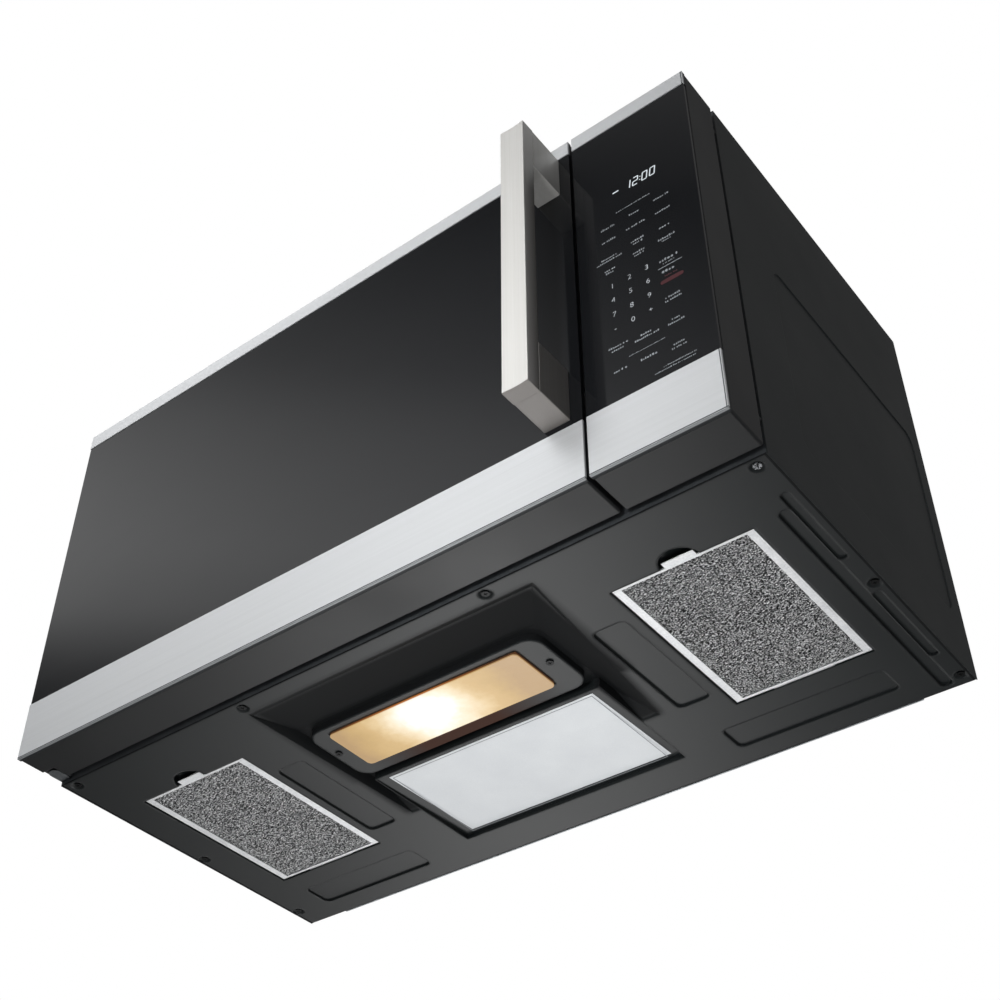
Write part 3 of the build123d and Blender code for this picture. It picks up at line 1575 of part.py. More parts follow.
nodes = {
    "outer_case": outer_case,
    "rear_panel": rear_panel,
    "wall_plate": wall_plate,
    "base_plate": base_plate,
    "case_screws": case_screws,
    "cavity": cavity,
    "front_frame": front_frame,
    "bay_floor": bay_floor_plate,
    "waveguide": waveguide,
    "waveguide_cover": waveguide_cover,
    "magnetron": magnetron,
    "transformer": transformer,
    "capacitor": capacitor,
    "fan_shroud": fan_shroud,
    "fan_motor": fan_motor,
    "cooling_fan": cooling_fan,
    "turntable_motor": turntable_motor,
    "turntable_coupler": turntable_coupler,
    "glass_tray": glass_tray,
    "roller_ring": roller_ring,
    "blower_housing": blower_housing,
    "blower_motor": blower_motor,
    "blower_wheels": blower_wheels,
    "vent_grille": vent_grille,
    "charcoal_filter": charcoal_filter,
    "lamp_housing": lamp_housing,
    "lamp_socket": lamp_socket,
    "lamp_bulb": lamp_bulb,
    "lamp_lens": lamp_lens,
    "lamp_cover": lamp_cover,
    "label_plate": label_plate,
    "cord_gland": cord_gland,
    "hinge_brackets": hinge_brackets,
    "interlock_bracket": interlock_bracket,
    "door_switches": door_switches,
    "switch_plungers": switch_plungers,
    "latch_hooks": latch_hooks,
    "control_board": control_board,
    "panel_frame": panel_frame,
    "panel_glass": panel_glass,
    "panel_bottom_strip": lambda: panel_strip(bottom_strip_z, (True, False)),
    "panel_top_strip": lambda: panel_strip(top_strip_z, (False, True)),
    "door_frame": door_frame,
    "door_glass": door_glass,
    "door_bottom_strip": lambda: door_strip(bottom_strip_z, (True, False)),
    "door_top_strip": lambda: door_strip(top_strip_z, (False, True)),
    "inner_door_panel": inner_door_panel,
    "door_screen": door_screen,
    "choke_cover": choke_cover,
    "handle_bar": handle_bar,
    "handle_face": handle_face,
    "handle_posts": handle_posts,
    "handle_screws": handle_screws,
    "filter_frame_left": lambda: filter_frame(filter_left),
    "filter_frame_right": lambda: filter_frame(filter_right),
    "filter_mesh_left": lambda: filter_mesh(filter_left),
    "filter_mesh_right": lambda: filter_mesh(filter_right),
}
for number, angle in enumerate(roller_places(), start=1):
    nodes[f"roller_{number}"] = lambda angle=angle: roller(angle)

os.makedirs("parts", exist_ok=True)
for name, make in nodes.items():
    export_step(make(), f"parts/{name}.step")
print(len(nodes), "nodes written")
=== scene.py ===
# %% [markdown]
# # An over the range microwave, dressed in Blender
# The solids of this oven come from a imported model: every wall, hinge and wheel already has its
# place. Blender adds what solids lack, such as brushed steel, printed keys, a woven filter net, a
# lamp that glows, and light. Each step first says what the real thing is and how it could be
# made, and then makes it. Lengths are in metres: X runs right, Y runs back to the wall at 0, and
# Z runs up from the underside of the base.

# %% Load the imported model
import json
import math
import random

import bmesh
import bpy
from mathutils import Matrix, Vector


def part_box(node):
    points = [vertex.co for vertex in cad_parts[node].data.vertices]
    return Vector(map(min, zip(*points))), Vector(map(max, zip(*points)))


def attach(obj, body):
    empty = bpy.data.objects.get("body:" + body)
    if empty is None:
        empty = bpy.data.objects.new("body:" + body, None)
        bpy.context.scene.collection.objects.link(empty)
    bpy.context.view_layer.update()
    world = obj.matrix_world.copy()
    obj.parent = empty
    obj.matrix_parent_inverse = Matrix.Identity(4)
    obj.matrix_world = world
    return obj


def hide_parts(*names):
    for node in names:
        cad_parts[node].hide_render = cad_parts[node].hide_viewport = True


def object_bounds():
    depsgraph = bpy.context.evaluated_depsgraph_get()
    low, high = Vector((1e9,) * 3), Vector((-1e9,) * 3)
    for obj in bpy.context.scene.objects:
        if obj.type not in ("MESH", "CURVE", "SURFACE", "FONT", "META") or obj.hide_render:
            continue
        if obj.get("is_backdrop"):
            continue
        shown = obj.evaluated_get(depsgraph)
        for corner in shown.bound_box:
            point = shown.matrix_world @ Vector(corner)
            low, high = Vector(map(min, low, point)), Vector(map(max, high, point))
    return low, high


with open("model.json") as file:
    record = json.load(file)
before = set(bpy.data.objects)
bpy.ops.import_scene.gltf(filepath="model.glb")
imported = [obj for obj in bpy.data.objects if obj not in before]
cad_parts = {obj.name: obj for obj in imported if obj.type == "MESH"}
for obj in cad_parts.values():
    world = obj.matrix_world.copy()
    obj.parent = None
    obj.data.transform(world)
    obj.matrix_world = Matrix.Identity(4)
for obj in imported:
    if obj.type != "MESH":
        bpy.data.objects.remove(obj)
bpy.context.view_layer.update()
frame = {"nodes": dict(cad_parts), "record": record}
nodes = frame["nodes"]
print(len(nodes), "parts of solids loaded")

# %% [markdown]
# ## Where the photographer stood
# The picture is taken from below and from the right, with the camera tipped up. The place was
# worked out from corners whose true positions are known, so the camera is written as an eye
# point and three directions: what is right, what is down and what is ahead in the picture. The
# picture is a crop, which a small sideways shift of the lens repeats without turning the camera.

# %% Camera
MM = 0.001
eye = Vector((0.71524, -1.11576, -0.76261))
picture_right = Vector((0.78259, 0.62226, 0.01867))
picture_down = Vector((-0.40133, 0.52721, -0.74899))
picture_ahead = Vector((-0.47591, 0.57866, 0.66232))
camera_data = bpy.data.cameras.new("photo_camera")
camera_data.lens = 55.96
camera_data.sensor_width = 36.0
camera_data.shift_x = 0.05
camera_data.clip_start = 0.01
camera = bpy.data.objects.new("photo_camera", camera_data)
turned = Matrix((picture_right, -picture_down, -picture_ahead)).transposed().to_4x4()
camera.matrix_world = Matrix.Translation(eye) @ turned
scene = bpy.context.scene
scene.collection.objects.link(camera)
scene.camera = camera
scene.view_settings.view_transform = "Standard"
print("camera at", [round(v, 3) for v in eye])

# %% [markdown]
# ## Shader maths in plain expressions
# A finish is a small network of nodes, and wiring it by hand hides the idea. Two small classes
# keep it readable. A Wire is the output of a node, and writing maths with it adds Math nodes. A
# Nodes object is one network, and its node method makes any node: settings first, then values
# and links. Everything below is written with these two.

# %% Wires and nodes
class Wire:
    """A value that changes over a surface. Maths with it adds Math nodes to its network."""

    def __init__(self, network, socket):
        self.network = network
        self.socket = socket

    def math(self, operation, *values):
        return self.network.node("Math", dict(enumerate(values)), operation=operation)

    def __add__(self, other):
        return self.math("ADD", self, other)

    def __sub__(self, other):
        return self.math("SUBTRACT", self, other)

    def __rsub__(self, other):
        return self.math("SUBTRACT", other, self)

    def __mul__(self, other):
        return self.math("MULTIPLY", self, other)

    def either(self, other):
        """The larger of two masks."""
        return self.math("MAXIMUM", self, other)

    __radd__ = __add__
    __rmul__ = __mul__


class Nodes:
    """One network of shader nodes, of a material or of the world."""

    def __init__(self, owner):
        owner.use_nodes = True
        self.tree = owner.node_tree
        self.tree.nodes.clear()

    def node(self, kind, inputs=None, out=0, stops=None, **settings):
        made = self.tree.nodes.new("ShaderNode" + kind)
        for name, setting in settings.items():
            setattr(made, name, setting)
        if stops:
            elements = made.color_ramp.elements
            while len(elements) < len(stops):
                elements.new(1.0)
            for element, (position, colour) in zip(elements, stops):
                element.position = position
                element.color = colour
        for name, value in (inputs or {}).items():
            if isinstance(value, Wire):
                self.tree.links.new(value.socket, made.inputs[name])
            else:
                made.inputs[name].default_value = value
        return Wire(self, made.outputs[out]) if made.outputs else None


# %% [markdown]
# ## Colours and patterns that every finish shares
# Colours are written as six hex digits, as on a paint card, and made linear here, because
# shaders mix light and not paint numbers. Patterns are measured in the object's own metres, so
# a grain of 600 per metre is a grain of 600 per metre on every part, and it stays on the part
# when the part moves. Stretching the coordinates turns round grain into brush lines.

# %% Colour and pattern helpers
def tone(code, alpha=1.0):
    """A colour from six hex digits, made linear."""
    parts = [int(code[at:at + 2], 16) / 255 for at in (0, 2, 4)]
    linear = [p / 12.92 if p <= 0.04045 else ((p + 0.055) / 1.055) ** 2.4 for p in parts]
    return (*linear, alpha)


class Finish(Nodes):
    """A material with the patterns that this oven's finishes share."""

    def __init__(self, name):
        self.material = bpy.data.materials.new(name)
        super().__init__(self.material)

    def place(self, scale=(1.0, 1.0, 1.0), shift=(0.0, 0.0, 0.0)):
        where = self.node("TexCoord", out="Object")
        return self.node("Mapping", {"Vector": where, "Location": shift, "Scale": scale})

    def noise(self, scale, detail=2.0, roughness=0.5, where=None):
        return self.node("TexNoise", {"Vector": where or self.place(), "Scale": scale,
                                      "Detail": detail, "Roughness": roughness})

    def spread(self, value, low, high, to_low=0.0, to_high=1.0):
        """The value's run from low to high, stretched to another run and clamped."""
        return self.node("MapRange", {"Value": value, "From Min": low, "From Max": high,
                                      "To Min": to_low, "To Max": to_high})

    def rise(self, value, edge):
        """0 before and 1 after a soft edge, which is a pair in millimetres."""
        return self.spread(value, edge[0] * MM, edge[1] * MM)

    def window(self, value, start, end):
        """1 between two soft edges of a coordinate."""
        return self.rise(value, start) * (1.0 - self.rise(value, end))

    def along(self, axis):
        """The coordinate along one axis."""
        return self.node("SeparateXYZ", {"Vector": self.place()}, out=axis)

    def between(self, share, first, second):
        """A colour between two, by a share from 0 to 1."""
        return self.node("Mix", {0: share, 6: first, 7: second}, out=2, data_type="RGBA")

    def relief(self, height, depth, strength=1.0, edge=0.0):
        """A normal for a pattern that is depth metres high, on edges rounded to a radius."""
        sockets = {"Height": height, "Distance": depth, "Strength": strength}
        if edge:
            sockets["Normal"] = self.node("Bevel", {"Radius": edge}, samples=6)
        return self.node("Bump", sockets, out="Normal")

    def surface(self, **sockets):
        """The shader at the end, with underscores for the blanks in its sockets' names."""
        named = {name.replace("_", " "): value for name, value in sockets.items()}
        shader = self.node("BsdfPrincipled", named)
        self.node("OutputMaterial", {"Surface": shader})
        return self.material


# %% [markdown]
# ## Stainless steel with brush lines
# The strips and the handle are rolled steel brushed in one direction. Under a lamp the brush
# lines smear each highlight across themselves. Very long thin noise does this: one fine layer
# for the scratches, and one coarser layer for the uneven pressure of the brush. Both feed the
# colour, the roughness and a relief of a hundredth of a millimetre. Masks made from the place
# on the piece paint shade into the steel: in the fold, at the end, below and on the lip of the
# strips, and on the flank of the handle. The foot of the handle is darker steel.

# %% Painted shade on the strips and the handle, and the handle's darker foot
fold_z = ((3.6, 3.8), (4.7, 5.0))
end_x = ((377.7, 377.9), (378.6, 378.8))
under_z = (3.3, 3.5)
lip_y = (-404.0, -403.6)


def strip_painted_shade(steel, colour):
    """Painted shade on the strips: dark in fold and end, grey below, nearly black on the lip."""
    x, y, z = (steel.along(axis) for axis in "XYZ")
    # Painted shade: darker steel in the fold and at the end, grey underneath, nearly black on the
    # lip.
    fold_shade = steel.window(z, *fold_z).either(steel.window(x, *end_x))
    colour = steel.between(fold_shade, colour, tone("4e5154"))
    colour = steel.between(1.0 - steel.rise(z, under_z), colour, tone("8f9294"))
    return steel.between(steel.rise(y, lip_y), colour, tone("26282a"))


foot_z = (69.8, 70.2)
flank_x = (247.2, 247.4)
flank_fade_z = (310.0, 390.0)
flank_depth_y = (-457.0, -446.0)


def handle_foot_and_flank_shade(steel, colour):
    """The handle: a darker foot, and painted shade on a flank, darker inwards and fading out
    upwards.
    """
    x, y, z = (steel.along(axis) for axis in "XYZ")
    colour = steel.between(1.0 - steel.rise(z, foot_z), colour, tone("938f8c"))
    # Painted shade on the flank of the handle, darker towards the door.
    flank = steel.rise(x, flank_x) * (1.0 - steel.rise(z, flank_fade_z))
    shade = steel.between(steel.rise(y, flank_depth_y), tone("a09e9c"), tone("6a6866"))
    return steel.between(flank, colour, shade)


# %% Brushed steel
def brushed_steel(name, light, dark, stretch, rough, shaded):
    """Steel brushed along one axis, with the painted shade that a function adds."""
    steel = Finish(name)
    lines = steel.place(scale=stretch)
    fine = steel.noise(1.0, 4.0, 0.7, lines)
    broad = steel.noise(0.16, 2.0, 0.5, lines)
    worn = steel.noise(9.0, 3.0, 0.6)
    share = steel.spread(fine * 0.6 + broad * 0.4, 0.35, 0.65)
    return steel.surface(
        Base_Color=shaded(steel, steel.between(share, tone(dark), tone(light))), Metallic=0.5,
        Roughness=rough + share * 0.1 + worn * 0.06,
        Normal=steel.relief(fine, 0.00001, 0.5, 0.0008))


along_x = (7.0, 1500.0, 1500.0)
along_z = (1500.0, 1500.0, 7.0)
finishes = {
    "stainless": brushed_steel(
        "stainless", "cfd1d3", "c6c8ca", along_x, 0.36, strip_painted_shade),
    "handle_steel": brushed_steel(
        "handle_steel", "dddcda", "d1d0cc", along_z, 0.34, handle_foot_and_flank_shade),
}
print("brushed", sorted(finishes))

# %% [markdown]
# ## Painted sheet
# The case and the base are sheet metal with baked powder paint. Up close the paint is not flat:
# it has a soft orange peel, a little sparkle of grain, and its sheen changes slowly where hands
# and cloths have passed. Noise at three sizes gives these three.

# %% Painted sheet and moulded black parts
def painted(name, light, dark, rough, grain, peel, edge):
    """Baked paint with a grain, an orange peel and edges rounded to a radius."""
    paint = Finish(name)
    wide = paint.noise(5.0, 3.0, 0.6)
    speck = paint.noise(grain, 2.0, 0.6)
    share = paint.spread(wide * 0.55 + speck * 0.45, 0.35, 0.65)
    return paint.surface(
        Base_Color=paint.between(share, tone(dark), tone(light)),
        Roughness=paint.spread(wide, 0.3, 0.7, rough - 0.05, rough + 0.05) + speck * 0.04,
        Normal=paint.relief(speck, peel, 0.5, edge))


finishes["case_paint"] = painted("case_paint", "212526", "181c1d", 0.46, 700.0, 0.00004, 0.0012)
finishes["frame_satin"] = painted("frame_satin", "1c1d1e", "131415", 0.38, 1200.0, 0.00003, 0.001)
print("painted", len(finishes))

# %% [markdown]
# ## Paint of the base and of the lamp cover
# Under the oven the paint is smoother than on the case and mirrors the floor. Inside the trough
# round the lamp it is matt and almost black, which paints the shade of its slopes, and on the raw
# edges of the plate it is matt and almost black too. One mask, made from the place on the plate,
# mixes the two. The lamp cover has the smooth paint, with painted shade on its walls, and a
# painted brown glow behind the lens where the lamp shines on it.

# %% Where the paint is matt: painted shade, painted glow and the plate's edges
trough_x = ((-157.0, -144.0), (148.0, 162.0))
trough_y = ((-339.0, -325.0), (-192.0, -184.0))
left_tail_x = ((-153.0, -144.0), (-134.0, -130.0))
right_tail_x = ((114.0, 118.0), (126.0, 134.0))
right_tail_slant = 0.094
tails_y = ((-205.0, -195.0), (-122.0, -112.0))
sheet_x = ((-376.2, -375.8), (375.8, 376.2))
sheet_y = (-351.8, -351.5)


def base_masks(paint):
    """On the base: painted shade in the lamp trough and its two tails, and the sheet's edge. No
    glow.
    """
    x, y = paint.along("X"), paint.along("Y")
    # Painted shade: the trough and its tails get the matt, nearly black paint.
    trough = paint.window(x, *trough_x) * paint.window(y, *trough_y)
    start, end = right_tail_x
    right_tail = paint.rise(x, start) * (1.0 - paint.rise(x + y * right_tail_slant, end))
    tails = (right_tail + paint.window(x, *left_tail_x)) * paint.window(y, *tails_y)
    inside = paint.window(x, *sheet_x) * paint.rise(y, sheet_y)
    return trough.either(tails).either(1.0 - inside), tone("000000")


lit_x = ((-125.0, -60.0), (20.0, 95.0))
lit_y = ((-207.0, -205.0), (-188.0, -186.0))
cover_wall_z = (3.4, 3.9)


def cover_masks(paint):
    """On the lamp cover: painted shade on its walls, and a painted brown glow behind the lens."""
    behind = paint.window(paint.along("X"), *lit_x) * paint.window(paint.along("Y"), *lit_y)
    walls = paint.rise(paint.along("Z"), cover_wall_z)
    # Painted light: the lamp's brown glow, given off by the strip behind the lens.
    glow = paint.between(behind * (1.0 - walls), tone("000000"), tone("3c2318"))
    return behind.either(walls), glow


# %% Base paint
def matt_shade_paint(paint, glow):
    """Nearly black paint that takes almost no reflection, for painted shade, giving off any glow.
    """
    speck = paint.noise(800.0, 2.0, 0.6)
    return paint.node("BsdfPrincipled", {
        "Base Color": paint.between(speck, tone("101112"), tone("191a1b")),
        "Roughness": 0.6, "Specular IOR Level": 0.12,
        "Emission Color": glow, "Emission Strength": 1.0})


def underside_paint(name, masks):
    """Smooth paint, and matt paint for painted shade and glow where the masks of the part say so.
    """
    paint = Finish(name)
    wide = paint.noise(5.0, 3.0, 0.6)
    speck = paint.noise(800.0, 2.0, 0.6)
    share = paint.spread(wide * 0.55 + speck * 0.45, 0.35, 0.65)
    smooth = paint.node("BsdfPrincipled", {
        "Base Color": paint.between(share, tone("121516"), tone("181b1c")),
        "Roughness": 0.33 + wide * 0.06 + speck * 0.04,
        "Normal": paint.relief(speck, 0.00003, 0.5, 0.003)})
    matt_shade_share, glow = masks(paint)
    # The matt share is painted shade, and the glow it gives off is painted light.
    surface = paint.node("MixShader", {0: matt_shade_share, 1: smooth, 2: matt_shade_paint(paint, glow)})
    paint.node("OutputMaterial", {"Surface": surface})
    return paint.material


finishes["base_paint"] = underside_paint("base_paint", base_masks)
finishes["cover_paint"] = underside_paint("cover_paint", cover_masks)
print("painted", len(finishes))

# %% [markdown]
# ## Black glass
# The door and the panel are tempered glass printed black on the back. What the eye sees is the
# polished face: a very dark body, a clean reflection, and faint wiping marks that only change
# how sharp the reflection is.

# %% Black glass
def black_glass():
    glass = Finish("black_glass")
    wiped = glass.noise(1.0, 3.0, 0.6, glass.place(scale=(5.0, 5.0, 14.0)))
    depth = glass.noise(3.0, 2.0, 0.5)
    return glass.surface(
        Base_Color=glass.between(depth, tone("0d0e10"), tone("121315")),
        Roughness=glass.spread(wiped, 0.3, 0.75, 0.05, 0.11),
        Specular_IOR_Level=0.32)


finishes["black_glass"] = black_glass()

# %% [markdown]
# ## Zinc, aluminium and plain steel
# Hidden sheet is galvanised, which shows a spangle of crystals: flat patches, each a little
# lighter or darker. A Voronoi pattern is just that. Hinges, motors and cans are plain metal
# whose tone varies only softly, so they share one recipe with different numbers. The nets are
# strands that flash or lie in shade, and noise at their own size mixes two far tones, which
# paints these highlights and this shade into their colour. Metal that is seen from outside is
# only part metallic, because a full metal shows the room and not its own tone.

# %% Metals of the hidden parts
def spangled(name, light, dark, size):
    """Zinc with flat crystals, about size of them to a metre."""
    zinc = Finish(name)
    crystals = zinc.node("TexVoronoi", {"Vector": zinc.place(), "Scale": size}, out="Color")
    share = zinc.node("SeparateColor", {"Color": crystals}, out=0)
    cloud = zinc.noise(12.0, 3.0)
    return zinc.surface(
        Base_Color=zinc.between(share * 0.7 + cloud * 0.3, tone(dark), tone(light)),
        Metallic=0.5,
        Roughness=0.32 + share * 0.16,
        Normal=zinc.relief(share, 0.00001, 0.4))


def plain_metal(name, light, dark, rough, grain, metallic=1.0):
    """Metal with a soft cloud of tone and a fine grain."""
    metal = Finish(name)
    cloud = metal.noise(40.0, 3.0, 0.6)
    fine = metal.noise(grain, 2.0, 0.6)
    share = metal.spread(cloud * 0.5 + fine * 0.5, 0.35, 0.65)
    return metal.surface(
        Base_Color=metal.between(share, tone(dark), tone(light)),
        Metallic=metallic,
        Roughness=rough + share * 0.12,
        Normal=metal.relief(fine, 0.00002, 0.5))


outside_metallic = 0.4
finishes["galvanised"] = spangled("galvanised", "b9bdc0", "8f9498", 160.0)
for name, light, dark, rough, grain in (
        ("filter_rail", "f0f1f2", "d4d6d8", 0.36, 500.0),
        ("chassis_edge", "4a4d50", "3a3d40", 0.5, 500.0)):
    finishes[name] = plain_metal(name, light, dark, rough, grain, outside_metallic)


def net_with_painted_light(name, light, dark):
    """Thin strands with painted highlights at some places and painted shade at others."""
    strand = Finish(name)
    painted_glint = strand.spread(strand.noise(560.0, 2.0, 0.7), 0.44, 0.58)
    return strand.surface(
        Base_Color=strand.between(painted_glint, tone(dark), tone(light)),
        Metallic=outside_metallic, Roughness=0.3 + painted_glint * 0.1)


# Painted highlights and shade: the bright net and a shaded copy of it.
finishes["filter_net"] = net_with_painted_light("filter_net", "f8f9fa", "141516")
finishes["net_shade"] = net_with_painted_light("net_shade", "8e9194", "0e0f10")
# One row here is the nets' deepest painted shade.
for name, light, dark, rough, grain in (
        ("hinge_steel", "9a9da0", "777a7d", 0.34, 900.0),
        ("net_deep", "1c1e20", "0f1011", 0.40, 900.0),
        ("reflector", "dfe0e0", "c2c3c3", 0.18, 500.0),
        ("motor_steel", "a0a3a5", "7b7e80", 0.36, 600.0),
        ("core_steel", "6d6a66", "45423e", 0.48, 1100.0),
        ("can_aluminium", "c9cbcc", "a5a7a9", 0.28, 800.0)):
    finishes[name] = plain_metal(name, light, dark, rough, grain)

# %% Screws
bare_screw = (365.6, -343.5, 0.0)
bare_reach = (6.0, 7.0)


def blackened_screws():
    """Black screws, but for the one in the front right corner, which is bare steel."""
    steel = Finish("screw_steel")
    fine = steel.noise(1500.0, 2.0, 0.6)
    away = steel.node("VectorMath", {0: steel.place(), 1: tuple(v * MM for v in bare_screw)},
                      out="Value", operation="DISTANCE")
    black = steel.rise(away, bare_reach)
    shade = steel.between(fine, tone("0e0f10"), tone("1a1b1c"))
    marks = steel.spread(steel.noise(700.0, 2.0, 0.6), 0.46, 0.54)
    bright = steel.between(marks, tone("101112"), tone("a4a7aa"))
    return steel.surface(
        Base_Color=steel.between(black, bright, shade), Metallic=0.6,
        Roughness=0.30 + fine * 0.12, Normal=steel.relief(fine, 0.00002, 0.5))


finishes["screw_steel"] = blackened_screws()
print("metals", len(finishes))

# %% [markdown]
# ## Plastics, ceramic, enamel and card
# The rest does not conduct: enamel inside the oven, moulded plastics, the ceramic socket, the
# mica port cover, the charcoal pad and the circuit board. They share one recipe of a body
# colour that drifts a little, a fine mould grain, and a roughness of their own.

# %% Finishes that are not metal
def moulded(name, light, dark, rough, grain, peel):
    """A body colour that drifts a little, with a fine grain in relief."""
    body = Finish(name)
    drift = body.noise(18.0, 3.0, 0.55)
    fine = body.noise(grain, 2.0, 0.6)
    share = body.spread(drift * 0.6 + fine * 0.4, 0.35, 0.65)
    return body.surface(
        Base_Color=body.between(share, tone(dark), tone(light)),
        Roughness=rough + fine * 0.1,
        Normal=body.relief(fine, peel, 0.5))


for name, light, dark, rough, grain, peel in (
        ("enamel", "a9abac", "8e9092", 0.22, 260.0, 0.00003),
        ("screen_black", "1a1b1c", "101112", 0.45, 1400.0, 0.00002),
        ("label_foil", "d3d6d8", "c9cccf", 0.42, 900.0, 0.00001),
        ("socket_ceramic", "ece7dc", "d8d2c4", 0.35, 500.0, 0.00003),
        ("white_plastic", "e8e8e6", "dcdcda", 0.38, 900.0, 0.00002),
        ("dark_plastic", "2a2b2d", "1e1f20", 0.42, 900.0, 0.00003),
        ("red_plastic", "a3312b", "8a2621", 0.36, 900.0, 0.00002),
        ("fan_plastic", "3a3c3f", "2b2d2f", 0.40, 800.0, 0.00003),
        ("mica", "b9a98c", "9c8a6c", 0.34, 350.0, 0.00004),
        ("charcoal", "232323", "101010", 0.85, 420.0, 0.00060),
        ("board_green", "2f6b45", "235537", 0.32, 600.0, 0.00002),
        ("gland_rubber", "1b1b1c", "121213", 0.62, 1000.0, 0.00003)):
    finishes[name] = moulded(name, light, dark, rough, grain, peel)
print("finishes so far", len(finishes))

# %% [markdown]
# ## The lamp's glass
# The lamp is on in the picture. Its glass is pebbled and glows warm: white in front of the
# bulb, gold further off, and amber at the ends. The glow is painted as light given off by the
# glass, by the distance from the bulb, with the pebbles breaking it up.

# %% Glowing lens, bulb and turntable glass
bulb_spot = (-23.0, -238.0, 3.0)
glow_reach = (0.092, 0.096, 0.05)
lens_root_z = (0.7, 1.6)


def lamp_lens():
    """Pebbled glass whose glow falls from white to amber, and is darkest at its root."""
    lens = Finish("lens_glass")
    shrink = tuple(1.0 / reach for reach in glow_reach)
    from_bulb = lens.place(scale=shrink,
                           shift=tuple(-s * MM * k for s, k in zip(bulb_spot, shrink)))
    far = lens.node("VectorMath", {0: from_bulb}, out="Value", operation="LENGTH")
    pebbles = lens.noise(170.0, 2.0, 0.5)
    waves = lens.noise(30.0, 2.0, 0.5)
    warm = far + (waves - 0.5) * 0.30 + (pebbles - 0.5) * 0.10
    face = lens.node("ValToRGB", {"Fac": warm}, stops=(
        (0.22, tone("ffffff")), (0.36, tone("f6e8cb")), (0.52, tone("e2c797")),
        (0.66, tone("cfae76")), (0.82, tone("c3a26a")), (1.0, tone("b29266"))))
    at_root = lens.rise(lens.along("Z"), lens_root_z)
    glow = lens.between(at_root, face, lens.node("ValToRGB", {"Fac": far}, stops=(
        (0.25, tone("b06a30")), (0.60, tone("7d4720")), (1.0, tone("4a2c18")))))
    return lens.surface(
        Base_Color=lens.between(pebbles, tone("2a2018"), tone("342a1e")), Roughness=0.22,
        Emission_Color=glow, Emission_Strength=1.0,
        Normal=lens.relief(pebbles, 0.0003, 0.4))


def clear_glass(name, tint, rough, ripple):
    glass = Finish(name)
    waves = glass.noise(30.0, 2.0, 0.5)
    tinted = glass.between(waves, tone(tint), tone("f4f8f8"))
    return glass.surface(Base_Color=tinted, Roughness=rough + waves * 0.02,
                         Transmission_Weight=1.0, IOR=1.5,
                         Normal=glass.relief(waves, ripple, 0.3))


def bulb_glass():
    bulb = Finish("lamp_glass")
    frost = bulb.noise(300.0, 2.0, 0.5)
    return bulb.surface(
        Base_Color=bulb.between(frost, tone("fff6e2"), tone("ffeecb")), Roughness=0.3,
        Emission_Color=bulb.between(frost, tone("ffe2ae"), tone("fff0d0")),
        Emission_Strength=2.0)


finishes["lens_glass"] = lamp_lens()
finishes["lamp_glass"] = bulb_glass()
finishes["tray_glass"] = clear_glass("tray_glass", "e2eeec", 0.03, 0.0001)

# %% [markdown]
# ## Giving each part its finish
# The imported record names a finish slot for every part. Reading that list keeps this script and
# the record in step, so a part that is added later is dressed without a change here. Two parts
# have a finish of their own, since each looks different from the rest of its slot.

# %% Dress the parts
slot_of = {part["node"]: part["material_slot"] for part in frame["record"]["subparts"]}
own_finish = {"lamp_cover": "cover_paint", "front_frame": "chassis_edge"}


def dress(piece, finish):
    """The piece's mesh gets this one material, and its old slots go."""
    piece.data.materials.clear()
    piece.data.materials.append(finish)


for name, part in nodes.items():
    for at in range(len(part.material_slots)):
        part.material_slots[at].link = "OBJECT"
        part.material_slots[at].material = finishes[slot_of[name]]
for name, finish in own_finish.items():
    nodes[name].material_slots[0].material = finishes[finish]
print("dressed", len(nodes), "parts in", len(set(slot_of.values())), "finishes")

# %% [markdown]
# ## Modelling by hand, in code
# New pieces start as primitives and are shaped in edit mode, as by hand. An operator acts on
# all that is selected, so everything is deselected first, and vertices, edges or faces are then
# picked by where they are. When a piece is done its object is still at the origin, with its
# place in its mesh, like every part of solids.

# %% Modelling helpers
def pick(piece):
    """Leaves this object alone selected and active."""
    bpy.ops.object.select_all(action="DESELECT")
    piece.select_set(True)
    bpy.context.view_layer.objects.active = piece


def start(shape, name, **settings):
    """Adds a primitive of a shape and names it."""
    bpy.ops.object.select_all(action="DESELECT")
    getattr(bpy.ops.mesh, f"primitive_{shape}_add")(**settings)
    piece = bpy.context.active_object
    piece.name = name
    return piece


def choose(piece, kind, test):
    """Opens edit mode and selects what of a kind passes a test of its middle."""
    pick(piece)
    bpy.ops.object.mode_set(mode="EDIT")
    bpy.ops.mesh.select_mode(type=kind)
    bpy.ops.mesh.select_all(action="DESELECT")
    mesh = bmesh.from_edit_mesh(piece.data)
    for vertex in mesh.verts if kind == "VERT" else ():
        vertex.select = test(vertex.co)
    for edge in mesh.edges if kind == "EDGE" else ():
        edge.select = test((edge.verts[0].co + edge.verts[1].co) / 2)
    for face in mesh.faces if kind == "FACE" else ():
        face.select = test(face.calc_center_median())
    mesh.select_flush_mode()
    bmesh.update_edit_mesh(piece.data)


def done():
    """Leaves edit mode."""
    bpy.ops.object.mode_set(mode="OBJECT")


def settle(piece):
    """Moves the object's own place and size into its mesh."""
    pick(piece)
    bpy.ops.object.transform_apply(location=True, rotation=True, scale=True)


def modify(piece, kind, **settings):
    """Adds a modifier and applies it."""
    pick(piece)
    made = piece.modifiers.new(kind.lower(), kind)
    for name, value in settings.items():
        setattr(made, name, value)
    bpy.ops.object.modifier_apply(modifier=made.name)


def twin(piece, name, change):
    """A copy with its own mesh, moved and sized by a matrix."""
    copy = bpy.data.objects.new(name, piece.data.copy())
    scene.collection.objects.link(copy)
    copy.data.transform(change)
    return copy


